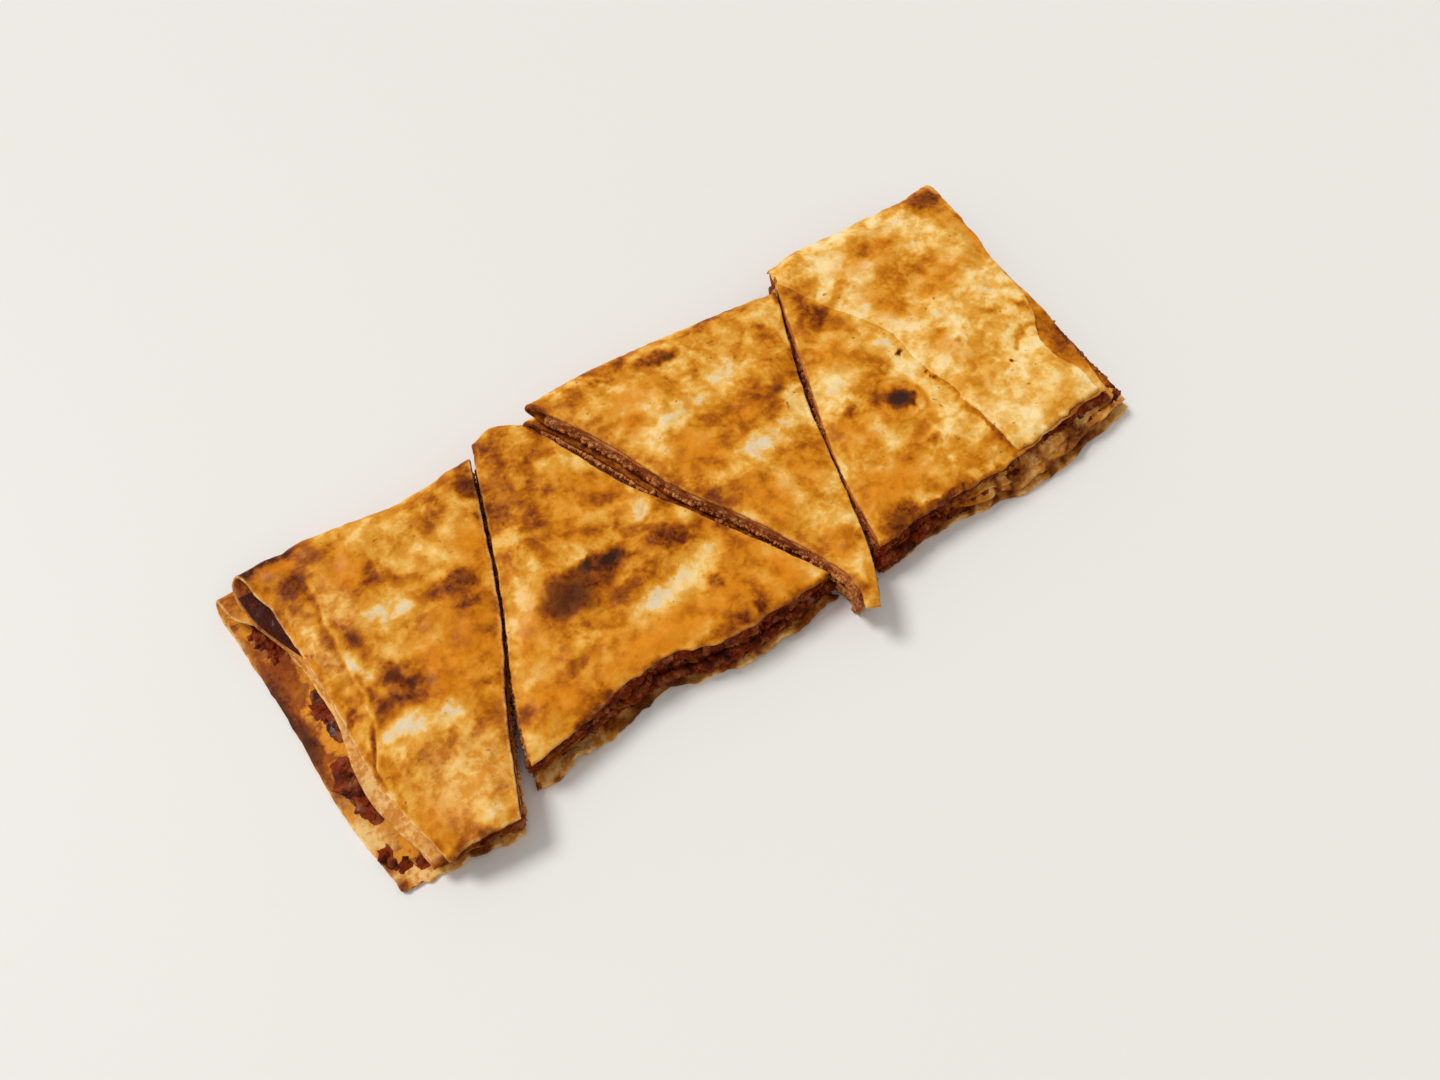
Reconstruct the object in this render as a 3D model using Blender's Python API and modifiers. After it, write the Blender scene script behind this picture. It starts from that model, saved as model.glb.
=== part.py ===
"""Arayes: a row of four slices of grilled flatbread, folded in two layers round spiced mince.

Units are metres and +Z is up. +X runs along the row and +Y points at the folded backs.
The origin lies at the middle of the row, on the surface that the slices rest on.

Each slice holds two breads, one on the other. A bread is one sheet that is folded over at
the back, with mince between its two plies. A knife cut the row from front to back in a
zigzag, so slices 2 and 3 are triangles and slices 1 and 4 keep the ends of the bread.
"""
import math
import random
from collections import namedtuple

import bmesh
import bpy
from mathutils import Vector

# Driving dimensions
PLY = 0.0012            # one ply of bread
FLAP_PLY = 0.0010       # the torn flap on the last slice
MINCE = 0.0032          # one layer of mince
GAP = 0.00035           # clearance between neighbouring pieces
FOLD_DEPTH = 0.0055     # how far a squashed fold rounds out beyond the flat plies
FOLD_STEPS = 4          # facets round a fold
CELL = 0.0100           # usual length of a facet
CRUMBLE = 0.0003        # how far the cut mince stands in and out
MINCE_STOP = 0.0012     # how far the mince stays from the start of the fold
MINCE_FOLLOWS = (0.3, 0.8)  # shares of its depth between which its rows keep to the ply's
STRIDE = 0.08           # share of the depth that gives the direction of the cuts at the front

# Heights of the middles of the four plies of a slice, from the bottom
FLOOR = PLY / 2
MIDDLE_LOW = FLOOR + PLY + MINCE + 2 * GAP
MIDDLE_HIGH = MIDDLE_LOW + PLY + GAP
TOP = MIDDLE_HIGH + PLY + MINCE + 2 * GAP
HEIGHTS = {"floor": FLOOR, "middle_low": MIDDLE_LOW, "middle_high": MIDDLE_HIGH, "top": TOP}

# How much of the top's unevenness each ply takes up
SHARES = {"floor": 0.0, "middle_low": 0.2, "middle_high": 0.3, "top": 1.0}

# The unevenness: waves of (height, wavelength, direction in degrees, phase in turns)
WAVES = ((0.00030, 0.052, 20, 0.10), (0.00028, 0.034, 75, 0.45), (0.00020, 0.027, 140, 0.80))
SOFT_EDGE = 0.0080      # width over which the knife and the heat pressed the edges down
EDGE_DROP = 0.0007
END_CURL = 0.0008       # how much further the first slice's open end curls down

# The outer wrap of the first slice ends in a step, whose line runs from front to back
STEP_HEIGHT = 0.0005
STEP_WIDTH = 0.0080
STEP_LINE = ((-0.1085, -0.0480), (-0.1110, -0.0150), (-0.1045, 0.0100), (-0.1010, 0.0400))

# A blister on the last slice
BLISTER = (0.0610, -0.0090)
BLISTER_RADIUS = 0.0080
BLISTER_HEIGHT = 0.0009

# The flap's long edge over the last slice, and its torn end, as shares of the slice's width
FLAP_EDGE = (0.71, 0.64, 0.53, 0.40, 0.0)
FLAP_END = (0.977, 0.965, 0.935, 0.925, 0.965, 0.985, 0.990, 1.0, 1.0, 1.0)
FLAP_FRONT = 0.01       # where it starts, as a share of the slice's depth
FLAP_TURNS = (45, 15)   # its rows round the fold, in degrees above the fold's middle
FLAP_SLACK = 0.0004     # how much further off it stands there
FLAP_CELLS = (7, 11)    # facets across and along it

# Outline of the top ply of each slice: the sides run from front to back, and the front and
# the back give only the points between the sides. Reach is how far another ply passes beyond
# the top one: to the left and to the right, from front to back, and to the front, from left
# to right. Near the fold a ply has other reaches, fold_left and fold_right. Mince gives how
# far each layer of mince passes beyond the top ply's front edge.
Slice = namedtuple("Slice", "left right front back rise reach mince fold_left fold_right",
                   defaults=({}, {}))
Reach = namedtuple("Reach", "left right front", defaults=((0.0, 0.0), (0.0, 0.0), (0.0, 0.0)))
TOP_REACH = Reach()

SLICES = {
    1: Slice(
        left=((-0.1085, -0.0465), (-0.1125, -0.0200), (-0.1115, 0.0120), (-0.1125, 0.0530)),
        right=((-0.0895, -0.0485), (-0.0785, -0.0245), (-0.0630, 0.0050), (-0.0462, 0.0475)),
        front=((-0.1000, -0.0470),),
        back=((-0.0900, 0.0505), (-0.0670, 0.0461)),
        rise=1.0,
        reach={"floor": Reach((0.0120, 0.0110, 0.0115, 0.0115), front=(-0.0045, 0.0005)),
               "middle_low": Reach((0.0035, 0.0020, 0.0015, 0.0045), front=(-0.0030, -0.0010)),
               "middle_high": Reach((0.0025, 0.0040, 0.0005, 0.0025), front=(-0.0020, -0.0020))},
        mince={"lower": (-0.0034, -0.0026), "upper": (-0.0018, -0.0030)},
        fold_left={"floor": 0.0115, "middle_low": 0.0095, "middle_high": 0.0058, "top": 0.0012}),
    2: Slice(
        left=((-0.0805, -0.0385), (-0.0735, -0.0190), (-0.0610, 0.0070), (-0.0435, 0.0510)),
        right=((0.0114, -0.0403), (0.0055, -0.0277), (-0.0009, -0.0154), (-0.0069, -0.0033),
               (-0.0142, 0.0102), (-0.0214, 0.0284), (-0.0280, 0.0481)),
        front=((-0.0600, -0.0365), (-0.0400, -0.0345), (-0.0180, -0.0405)),
        back=((-0.0360, 0.0524),),
        rise=0.97,
        reach={"floor": Reach(front=(0.0062, 0.0060, 0.0050, 0.0045)),
               "middle_low": Reach(front=(0.0024, 0.0015, 0.0010, 0.0005)),
               "middle_high": Reach(front=(-0.0003, -0.0005, -0.0005, -0.0003))},
        mince={"lower": (-0.0030, -0.0010, 0.0025, 0.0020, 0.0005),
               "upper": (-0.0016, -0.0014, -0.0006, -0.0006, -0.0010)}),
    3: Slice(
        left=((0.0118, -0.0545), (0.0141, -0.0458), (0.0106, -0.0321), (0.0025, -0.0129),
              (-0.0061, 0.0044), (-0.0133, 0.0273), (-0.0245, 0.0530)),
        right=((0.0155, -0.0560), (0.0240, -0.0400), (0.0345, -0.0110), (0.0440, 0.0150),
               (0.0582, 0.0438)),
        front=(),
        back=((0.0050, 0.0516), (0.0320, 0.0483)),
        rise=1.08,
        reach={"floor": Reach((0.0, 0.0, 0.0014, 0.0028, 0.0028), front=(-0.0100, -0.0100)),
               "middle_low": Reach((0.0, 0.0, 0.0012, 0.0024, 0.0024), front=(-0.0085, -0.0085)),
               "middle_high": Reach((0.0, 0.0, 0.0005, 0.0010, 0.0010), front=(-0.0070, -0.0070))},
        mince={"lower": (-0.0105, -0.0105), "upper": (-0.0085, -0.0085)},
        fold_left={"floor": 0.0022, "middle_low": 0.0018, "middle_high": 0.0006}),
    4: Slice(
        left=((0.0270, -0.0425), (0.0338, -0.0165), (0.0452, 0.0110), (0.0619, 0.0515)),
        right=((0.1130, -0.0400), (0.1170, -0.0150), (0.1195, 0.0150), (0.1243, 0.0492)),
        front=((0.0450, -0.0412), (0.0720, -0.0430)),
        back=((0.0800, 0.0508), (0.1050, 0.0482)),
        rise=0.98,
        reach={"floor": Reach((0.0, 0.0), (0.0080, 0.0050, 0.0020, 0.0005),
                              (0.0045, 0.0040, 0.0040, 0.0085, 0.0070)),
               "middle_low": Reach((0.0, 0.0), (0.0060, 0.0040, 0.0015, 0.0005),
                                   (0.0010, 0.0010, 0.0028, 0.0068, 0.0052)),
               "middle_high": Reach((0.0, 0.0), (0.0030, 0.0020, 0.0005, 0.0),
                                    (-0.0003, -0.0003, 0.0010, 0.0040, 0.0030))},
        mince={"lower": (0.0022, 0.0022, 0.0010, 0.0010, 0.0030),
               "upper": (-0.0008, -0.0010, -0.0012, -0.0022, 0.0010)},
        fold_right={"floor": 0.0005, "middle_low": 0.0005}),
}

# Shares of the depth between which the sides of a ply turn to those of its fold
TURN_IN = {"floor": (0.72, 0.94), "middle_low": (0.86, 0.945), "middle_high": (0.72, 0.92),
           "top": (0.88, 0.945)}

BREADS = {"lower": ("floor", "middle_low"), "upper": ("middle_high", "top")}

# The mince of the first slice's lower bread passes this far beyond the top ply at the open
# end, where it thins out
OPEN_END = 0.0100
THIN_END = 0.0100       # over this length
THIN_SHARE = 0.45       # to this share of its height


def mix(a, b, share):
    return a + (b - a) * share


def smooth(value, low, high):
    """0 below low, 1 above high, and a smooth rise between them."""
    share = min(1.0, max(0.0, (value - low) / (high - low)))
    return share * share * (3 - 2 * share)


def along(points, share):
    """The smooth curve through the given points, or numbers, at a share of its length."""
    if isinstance(points[0], tuple):
        points = [Vector(point) for point in points]
    last = len(points) - 1
    place = min(max(share, 0.0), 1.0) * last
    index = min(int(place), last - 1)
    before = points[index - 1] if index else 2 * points[0] - points[1]
    after = points[index + 2] if index + 2 <= last else 2 * points[-1] - points[-2]
    start, end, t = points[index], points[index + 1], place - index
    rise = (end - before) / 2
    fall = (after - start) / 2
    return (start * (2 * t ** 3 - 3 * t ** 2 + 1) + rise * (t ** 3 - 2 * t ** 2 + t)
            + end * (3 * t ** 2 - 2 * t ** 3) + fall * (t ** 3 - t ** 2))


def steps(count):
    return [index / count for index in range(count + 1)]


def patch(shape, across, depth):
    """A place on the plan between the four sides of a slice's top ply."""
    front = (shape.left[0],) + shape.front + (shape.right[0],)
    back = (shape.left[-1],) + shape.back + (shape.right[-1],)
    sides = mix(along(shape.left, depth), along(shape.right, depth), across)
    ends = mix(along(front, across), along(back, across), depth)
    corners = mix(mix(Vector(front[0]), Vector(front[-1]), across),
                  mix(Vector(back[0]), Vector(back[-1]), across), depth)
    return sides + ends - corners


def plan(shape, across, depth, left=0.0, right=0.0):
    """The patch, drawn out to both sides, and before the front edge along the cuts."""
    inner = max(depth, 0.0)
    place = patch(shape, across, inner)
    if depth < 0:
        place += (patch(shape, across, STRIDE) - place) * (depth / STRIDE)
    place.x += right * across - left * (1 - across)
    return place


def depth_of(shape, across):
    return (patch(shape, across, 1) - patch(shape, across, 0)).length


def step_of_wrap(place):
    """The end of the outer wrap: higher to the right of its line."""
    share = min(1.0, max(0.0, (place.y - STEP_LINE[0][1]) / (STEP_LINE[-1][1] - STEP_LINE[0][1])))
    line = along(STEP_LINE, share).x
    return STEP_HEIGHT * (smooth(place.x, line, line + STEP_WIDTH) - 1)


def relief(number, across, depth, place):
    """How far the top ply stands above or below its usual height."""
    shape = SLICES[number]
    height = 0.0
    for size, length, direction, phase in WAVES:
        angle = math.radians(direction)
        run = place.x * math.cos(angle) + place.y * math.sin(angle)
        height += size * math.sin(2 * math.pi * (run / length + phase))
    width = (patch(shape, 1, max(depth, 0)) - patch(shape, 0, max(depth, 0))).length
    to_side = min(across, 1 - across) * width
    to_front = max(depth, 0) * depth_of(shape, across)
    height -= EDGE_DROP * (2 - smooth(to_side, 0, SOFT_EDGE) - smooth(to_front, 0, SOFT_EDGE))
    if number == 1:
        height += step_of_wrap(place) - END_CURL * (1 - smooth(across * width, 0, SOFT_EDGE))
    if number == 4:
        distance = (place - Vector(BLISTER)).length
        height += BLISTER_HEIGHT * (1 - smooth(distance, 0, BLISTER_RADIUS))
    return height


def height_of(number, ply, across, depth, place):
    """Height of the middle of a ply over a place on the plan."""
    usual = FLOOR + (HEIGHTS[ply] - FLOOR) * SLICES[number].rise
    return usual + SHARES[ply] * relief(number, across, depth, place)


def fold_start(shape, across):
    """Share of the depth at which the flat plies turn into the fold."""
    return 1 - FOLD_DEPTH / depth_of(shape, across)


def reach_of(shape, ply, depth):
    """Reach of a ply to the left and right."""
    own = shape.reach.get(ply, TOP_REACH)
    share = smooth(depth, *TURN_IN[ply])
    left = mix(along(own.left, depth), shape.fold_left.get(ply, 0.0), share)
    right = mix(along(own.right, depth), shape.fold_right.get(ply, 0.0), share)
    return left, right


def front_of(shape, ply, across):
    """Share of the depth at which a ply starts, below 0 before the top ply's front edge."""
    own = shape.reach.get(ply, TOP_REACH)
    return -along(own.front, across) / depth_of(shape, across)


def on_ply(number, ply, across, run):
    """A point at a share of the way from a ply's front edge to the start of the fold."""
    shape = SLICES[number]
    depth = mix(front_of(shape, ply, across), fold_start(shape, across), run)
    place = plan(shape, across, depth, *reach_of(shape, ply, depth))
    return Vector((place.x, place.y, height_of(number, ply, across, depth, place)))


def on_fold(number, bread, across, turn, outset=0.0):
    """A point round the fold, with the turn from -90 degrees at the lower ply to 90."""
    shape = SLICES[number]
    lower, upper = BREADS[bread]
    flat = fold_start(shape, across)
    angle = math.radians(turn)
    reach = [mix(below, above, (1 + math.sin(angle)) / 2)
             for below, above in zip(reach_of(shape, lower, 1), reach_of(shape, upper, 1))]
    start = plan(shape, across, flat, *reach)
    bottom = height_of(number, lower, across, flat, start)
    top = height_of(number, upper, across, flat, start)
    depth = flat + (1 - flat) * math.cos(angle) * (FOLD_DEPTH + outset) / FOLD_DEPTH
    place = plan(shape, across, min(depth, 1), *reach)
    place.y += max(depth - 1, 0) * depth_of(shape, across)
    height = (bottom + top) / 2 + ((top - bottom) / 2 + outset) * math.sin(angle)
    return Vector((place.x, place.y, height))


def cells(shape):
    """Facets across and along a slice."""
    front = (patch(shape, 1, 0) - patch(shape, 0, 0)).length
    back = (patch(shape, 1, 1) - patch(shape, 0, 1)).length
    return round(max(front, back) / CELL), round(depth_of(shape, 0.5) / CELL)


def new_object(name, mesh_data, material, collection):
    mesh = bpy.data.meshes.new(name)
    bmesh.ops.recalc_face_normals(mesh_data, faces=mesh_data.faces)
    mesh_data.to_mesh(mesh)
    mesh_data.free()
    mesh.materials.append(material)
    piece = bpy.data.objects.new(name, mesh)
    collection.objects.link(piece)
    return piece


def sheet(name, rows, thickness, material, collection):
    """A grid of points as a ply of bread, half its thickness to each side."""
    mesh_data = bmesh.new()
    grid = [[mesh_data.verts.new(point) for point in row] for row in rows]
    for row, following in zip(grid, grid[1:]):
        for index in range(len(row) - 1):
            mesh_data.faces.new((row[index], row[index + 1], following[index + 1], following[index]))
    piece = new_object(name, mesh_data, material, collection)
    ply = piece.modifiers.new("thickness of the ply", "SOLIDIFY")
    ply.thickness = thickness
    ply.offset = 0
    ply.use_rim = True
    return piece


def make_bread(number, bread, material, collection):
    """One sheet: along the lower ply to the back, round the fold, and to the front again."""
    lower, upper = BREADS[bread]
    across_count, along_count = cells(SLICES[number])
    shares = steps(across_count)
    flat_runs = steps(along_count)
    rows = [[on_ply(number, lower, across, run) for across in shares] for run in flat_runs]
    for step in range(1, FOLD_STEPS):
        turn = -90 + 180 * step / FOLD_STEPS
        rows.append([on_fold(number, bread, across, turn) for across in shares])
    rows += [[on_ply(number, upper, across, run) for across in shares]
             for run in reversed(flat_runs)]
    return sheet(f"slice_{number}_{bread}_bread", rows, PLY, material, collection)


def mince_place(number, bread, across, run):
    """Where a column of mince stands: its share of the depth, and its place on the plan.
    It stops short of the fold, and follows the rows of the upper ply but near its own ends."""
    shape = SLICES[number]
    upper_ply = BREADS[bread][1]
    upper = front_of(shape, upper_ply, across)
    fold = fold_start(shape, across)
    start = -along(shape.mince[bread], across) / depth_of(shape, across)
    end = fold - MINCE_STOP / depth_of(shape, across)
    follow = smooth(run, 0, MINCE_FOLLOWS[0]) * (1 - smooth(run, MINCE_FOLLOWS[1], 1))
    depth = mix(mix(start, end, run), mix(upper, fold, run), follow)
    left, right = reach_of(shape, upper_ply, depth)
    if (number, bread) == (1, "lower"):
        left = OPEN_END
    return depth, plan(shape, across, depth, left, right)


def make_mince(number, bread, material, collection):
    """A slab between the two plies of a bread, crumbly along its cut sides."""
    shape = SLICES[number]
    lower, upper = BREADS[bread]
    chance = random.Random(10 * number + len(bread))
    across_count, along_count = cells(shape)
    layers = []
    for level in (0.0, 0.5, 1.0):
        rows = []
        for run in steps(along_count):
            row = []
            for across in steps(across_count):
                depth, place = mince_place(number, bread, across, run)
                bottom = height_of(number, lower, across, depth, place) + PLY / 2 + GAP
                top = height_of(number, upper, across, depth, place) - PLY / 2 - GAP
                over = plan(shape, across, depth).x - place.x
                top = mix(top, mix(bottom, top, THIN_SHARE), smooth(over, 0, THIN_END))
                if level == 0.5:
                    place += Vector((chance.uniform(-1, 1), chance.uniform(-1, 1))) * CRUMBLE
                row.append(Vector((place.x, place.y, mix(bottom, top, level))))
            rows.append(row)
        layers.append(rows)
    return slab(f"slice_{number}_{bread}_mince", layers, material, collection)


def slab(name, layers, material, collection):
    """A solid with the first grid as its bottom, the last as its top, and the rest as sides."""
    mesh_data = bmesh.new()
    rings = [outline_of(layer) for layer in layers]
    made = {}

    def vertex(point):
        key = tuple(point)
        if key not in made:
            made[key] = mesh_data.verts.new(point)
        return made[key]

    for layer in (layers[0], layers[-1]):
        for row, following in zip(layer, layer[1:]):
            for index in range(len(row) - 1):
                corners = (row[index], row[index + 1], following[index + 1], following[index])
                mesh_data.faces.new([vertex(corner) for corner in corners])
    for ring, above in zip(rings, rings[1:]):
        for index in range(len(ring)):
            corners = (ring[index - 1], ring[index], above[index], above[index - 1])
            mesh_data.faces.new([vertex(corner) for corner in corners])
    return new_object(name, mesh_data, material, collection)


def outline_of(rows):
    """The border of a grid, once round."""
    left = [row[0] for row in rows]
    right = [row[-1] for row in rows]
    return list(rows[0]) + right[1:] + list(reversed(rows[-1]))[1:] + list(reversed(left))[1:-1]


def make_flap(material, collection):
    """The torn end of the outer wrap, which lies on the last slice and over its fold."""
    across_shares = steps(FLAP_CELLS[0])
    clear = Vector((0, 0, PLY / 2 + GAP + FLAP_PLY / 2))
    rows = []
    for run in steps(FLAP_CELLS[1]):
        begin = along(FLAP_EDGE, run)
        end = along(FLAP_END, run)
        rows.append([on_ply(4, "top", mix(begin, end, share), mix(FLAP_FRONT, 1, run)) + clear
                     for share in across_shares])
    for turn in FLAP_TURNS:
        rows.append([on_fold(4, "upper", mix(FLAP_EDGE[-1], FLAP_END[-1], share), turn,
                             clear.z + FLAP_SLACK)
                     for share in across_shares])
    return sheet("slice_4_flap", rows, FLAP_PLY, material, collection)


def make_material(name, colour, roughness):
    material = bpy.data.materials.new(name)
    material.use_nodes = True
    surface = material.node_tree.nodes["Principled BSDF"]
    surface.inputs["Base Color"].default_value = (*colour, 1.0)
    surface.inputs["Roughness"].default_value = roughness
    surface.inputs["Metallic"].default_value = 0.0
    return material


def clear_scene():
    for piece in list(bpy.data.objects):
        bpy.data.objects.remove(piece, do_unlink=True)


def build():
    clear_scene()
    collection = bpy.data.collections.new("arayes")
    bpy.context.scene.collection.children.link(collection)
    bread_finish = make_material("grilled bread", (0.62, 0.33, 0.10), 0.55)
    flap_finish = make_material("pale grilled bread", (0.72, 0.46, 0.20), 0.6)
    mince_finish = make_material("spiced mince", (0.16, 0.045, 0.02), 0.5)
    for number in SLICES:
        for bread in BREADS:
            make_bread(number, bread, bread_finish, collection)
            make_mince(number, bread, mince_finish, collection)
    make_flap(flap_finish, collection)


build()
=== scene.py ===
import math
from collections import namedtuple

import bpy
import numpy as np
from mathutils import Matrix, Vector, noise


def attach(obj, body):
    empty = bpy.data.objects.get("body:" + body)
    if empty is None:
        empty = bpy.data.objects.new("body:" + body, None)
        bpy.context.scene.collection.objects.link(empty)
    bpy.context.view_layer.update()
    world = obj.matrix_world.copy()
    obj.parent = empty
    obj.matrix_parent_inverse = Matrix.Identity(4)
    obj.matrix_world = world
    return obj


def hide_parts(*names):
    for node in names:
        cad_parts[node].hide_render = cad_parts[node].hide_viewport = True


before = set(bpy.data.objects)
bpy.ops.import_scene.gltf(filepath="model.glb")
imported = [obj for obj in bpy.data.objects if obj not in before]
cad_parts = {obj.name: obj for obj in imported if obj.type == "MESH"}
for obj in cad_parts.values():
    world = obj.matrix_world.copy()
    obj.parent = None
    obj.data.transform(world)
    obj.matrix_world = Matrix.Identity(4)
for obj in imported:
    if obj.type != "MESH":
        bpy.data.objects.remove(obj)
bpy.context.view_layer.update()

# The lower breads. Each of the four slices rests on a sheet of thin wheat dough, which is
# folded over at the back and cut through with a knife. It is grilled dry and mottled outside,
# and stained by fat and spice inside.
PLY = 0.0012            # one ply of bread
MINCE = 0.0032          # one layer of mince
GAP = 0.00035           # clearance between neighbouring pieces
FOLD_DEPTH = 0.0055     # how far a squashed fold rounds out beyond the flat plies
STRIDE = 0.08           # share of the depth that gives the direction of the cuts at the front

# Heights of the middles of the four plies of a slice, and how much of the top's unevenness
# each of them takes up
FLOOR = PLY / 2
MIDDLE_LOW = FLOOR + PLY + MINCE + 2 * GAP
MIDDLE_HIGH = MIDDLE_LOW + PLY + GAP
TOP = MIDDLE_HIGH + PLY + MINCE + 2 * GAP
HEIGHTS = {"floor": FLOOR, "middle_low": MIDDLE_LOW, "middle_high": MIDDLE_HIGH, "top": TOP}
SHARES = {"floor": 0.0, "middle_low": 0.2, "middle_high": 0.3, "top": 1.0}
BREADS = {"lower": ("floor", "middle_low"), "upper": ("middle_high", "top")}

# The unevenness: waves of (height, wavelength, direction in degrees, phase in turns)
WAVES = ((0.00030, 0.052, 20, 0.10), (0.00028, 0.034, 75, 0.45), (0.00020, 0.027, 140, 0.80))
SOFT_EDGE = 0.0080      # width over which the knife and the heat pressed the edges down
EDGE_DROP = 0.0007
END_CURL = 0.0008       # how much further the first slice's open end curls down

# The outer wrap of the first slice ends in a step, whose line runs from front to back
STEP_HEIGHT = 0.0005
STEP_WIDTH = 0.0080
STEP_LINE = ((-0.1085, -0.0480), (-0.1110, -0.0150), (-0.1045, 0.0100), (-0.1010, 0.0400))

# A blister on the last slice
BLISTER = (0.0610, -0.0090)
BLISTER_RADIUS = 0.0080
BLISTER_HEIGHT = 0.0009

# The plan of each slice's top ply, and how far the other plies, the folds and the mince pass
# beyond it
Slice = namedtuple("Slice", "left right front back rise reach mince fold_left fold_right",
                   defaults=({}, {}))
Reach = namedtuple("Reach", "left right front", defaults=((0.0, 0.0), (0.0, 0.0), (0.0, 0.0)))
TOP_REACH = Reach()

SLICES = {
    1: Slice(
        left=((-0.1085, -0.0465), (-0.1125, -0.0200), (-0.1115, 0.0120), (-0.1125, 0.0530)),
        right=((-0.0895, -0.0485), (-0.0785, -0.0245), (-0.0630, 0.0050), (-0.0462, 0.0475)),
        front=((-0.1000, -0.0470),),
        back=((-0.0900, 0.0505), (-0.0670, 0.0461)),
        rise=1.0,
        reach={"floor": Reach((0.0120, 0.0110, 0.0115, 0.0115), front=(-0.0045, 0.0005)),
               "middle_low": Reach((0.0035, 0.0020, 0.0015, 0.0045), front=(-0.0030, -0.0010)),
               "middle_high": Reach((0.0025, 0.0040, 0.0005, 0.0025), front=(-0.0020, -0.0020))},
        mince={"lower": (-0.0034, -0.0026), "upper": (-0.0018, -0.0030)},
        fold_left={"floor": 0.0115, "middle_low": 0.0095, "middle_high": 0.0058, "top": 0.0012}),
    2: Slice(
        left=((-0.0805, -0.0385), (-0.0735, -0.0190), (-0.0610, 0.0070), (-0.0435, 0.0510)),
        right=((0.0114, -0.0403), (0.0055, -0.0277), (-0.0009, -0.0154), (-0.0069, -0.0033),
               (-0.0142, 0.0102), (-0.0214, 0.0284), (-0.0280, 0.0481)),
        front=((-0.0600, -0.0365), (-0.0400, -0.0345), (-0.0180, -0.0405)),
        back=((-0.0360, 0.0524),),
        rise=0.97,
        reach={"floor": Reach(front=(0.0062, 0.0060, 0.0050, 0.0045)),
               "middle_low": Reach(front=(0.0024, 0.0015, 0.0010, 0.0005)),
               "middle_high": Reach(front=(-0.0003, -0.0005, -0.0005, -0.0003))},
        mince={"lower": (-0.0030, -0.0010, 0.0025, 0.0020, 0.0005),
               "upper": (-0.0016, -0.0014, -0.0006, -0.0006, -0.0010)}),
    3: Slice(
        left=((0.0118, -0.0545), (0.0141, -0.0458), (0.0106, -0.0321), (0.0025, -0.0129),
              (-0.0061, 0.0044), (-0.0133, 0.0273), (-0.0245, 0.0530)),
        right=((0.0155, -0.0560), (0.0240, -0.0400), (0.0345, -0.0110), (0.0440, 0.0150),
               (0.0582, 0.0438)),
        front=(),
        back=((0.0050, 0.0516), (0.0320, 0.0483)),
        rise=1.08,
        reach={"floor": Reach((0.0, 0.0, 0.0014, 0.0028, 0.0028), front=(-0.0100, -0.0100)),
               "middle_low": Reach((0.0, 0.0, 0.0012, 0.0024, 0.0024), front=(-0.0085, -0.0085)),
               "middle_high": Reach((0.0, 0.0, 0.0005, 0.0010, 0.0010), front=(-0.0070, -0.0070))},
        mince={"lower": (-0.0105, -0.0105), "upper": (-0.0085, -0.0085)},
        fold_left={"floor": 0.0022, "middle_low": 0.0018, "middle_high": 0.0006}),
    4: Slice(
        left=((0.0270, -0.0425), (0.0338, -0.0165), (0.0452, 0.0110), (0.0619, 0.0515)),
        right=((0.1130, -0.0400), (0.1170, -0.0150), (0.1195, 0.0150), (0.1243, 0.0492)),
        front=((0.0450, -0.0412), (0.0720, -0.0430)),
        back=((0.0800, 0.0508), (0.1050, 0.0482)),
        rise=0.98,
        reach={"floor": Reach((0.0, 0.0), (0.0080, 0.0050, 0.0020, 0.0005),
                              (0.0045, 0.0040, 0.0040, 0.0085, 0.0070)),
               "middle_low": Reach((0.0, 0.0), (0.0060, 0.0040, 0.0015, 0.0005),
                                   (0.0010, 0.0010, 0.0028, 0.0068, 0.0052)),
               "middle_high": Reach((0.0, 0.0), (0.0030, 0.0020, 0.0005, 0.0),
                                    (-0.0003, -0.0003, 0.0010, 0.0040, 0.0030))},
        mince={"lower": (0.0022, 0.0022, 0.0010, 0.0010, 0.0030),
               "upper": (-0.0008, -0.0010, -0.0012, -0.0022, 0.0010)},
        fold_right={"floor": 0.0005, "middle_low": 0.0005}),
}

# Shares of the depth between which the sides of a ply turn to those of its fold
TURN_IN = {"floor": (0.72, 0.94), "middle_low": (0.86, 0.945), "middle_high": (0.72, 0.92),
           "top": (0.88, 0.945)}


def mix(a, b, share):
    return a + (b - a) * share


def smooth(value, low, high):
    """0 below low, 1 above high, and a smooth rise between them."""
    share = np.clip((value - low) / (high - low), 0.0, 1.0)
    return share * share * (3 - 2 * share)


def along(points, share):
    """The smooth curve through the given points, or numbers, at shares of its length."""
    points = np.asarray(points, float)
    ends = (2 * points[:1] - points[1:2], points, 2 * points[-1:] - points[-2:-1])
    padded = np.concatenate(ends)
    last = len(points) - 1
    place = np.clip(np.asarray(share, float), 0.0, 1.0) * last
    index = np.minimum(place.astype(int), last - 1)
    t = place - index
    if points.ndim > 1:
        t = t[..., None]
    before, start, end, after = (padded[index + step] for step in range(4))
    rise = (end - before) / 2
    fall = (after - start) / 2
    return (start * (2 * t ** 3 - 3 * t ** 2 + 1) + rise * (t ** 3 - 2 * t ** 2 + t)
            + end * (3 * t ** 2 - 2 * t ** 3) + fall * (t ** 3 - t ** 2))


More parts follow.
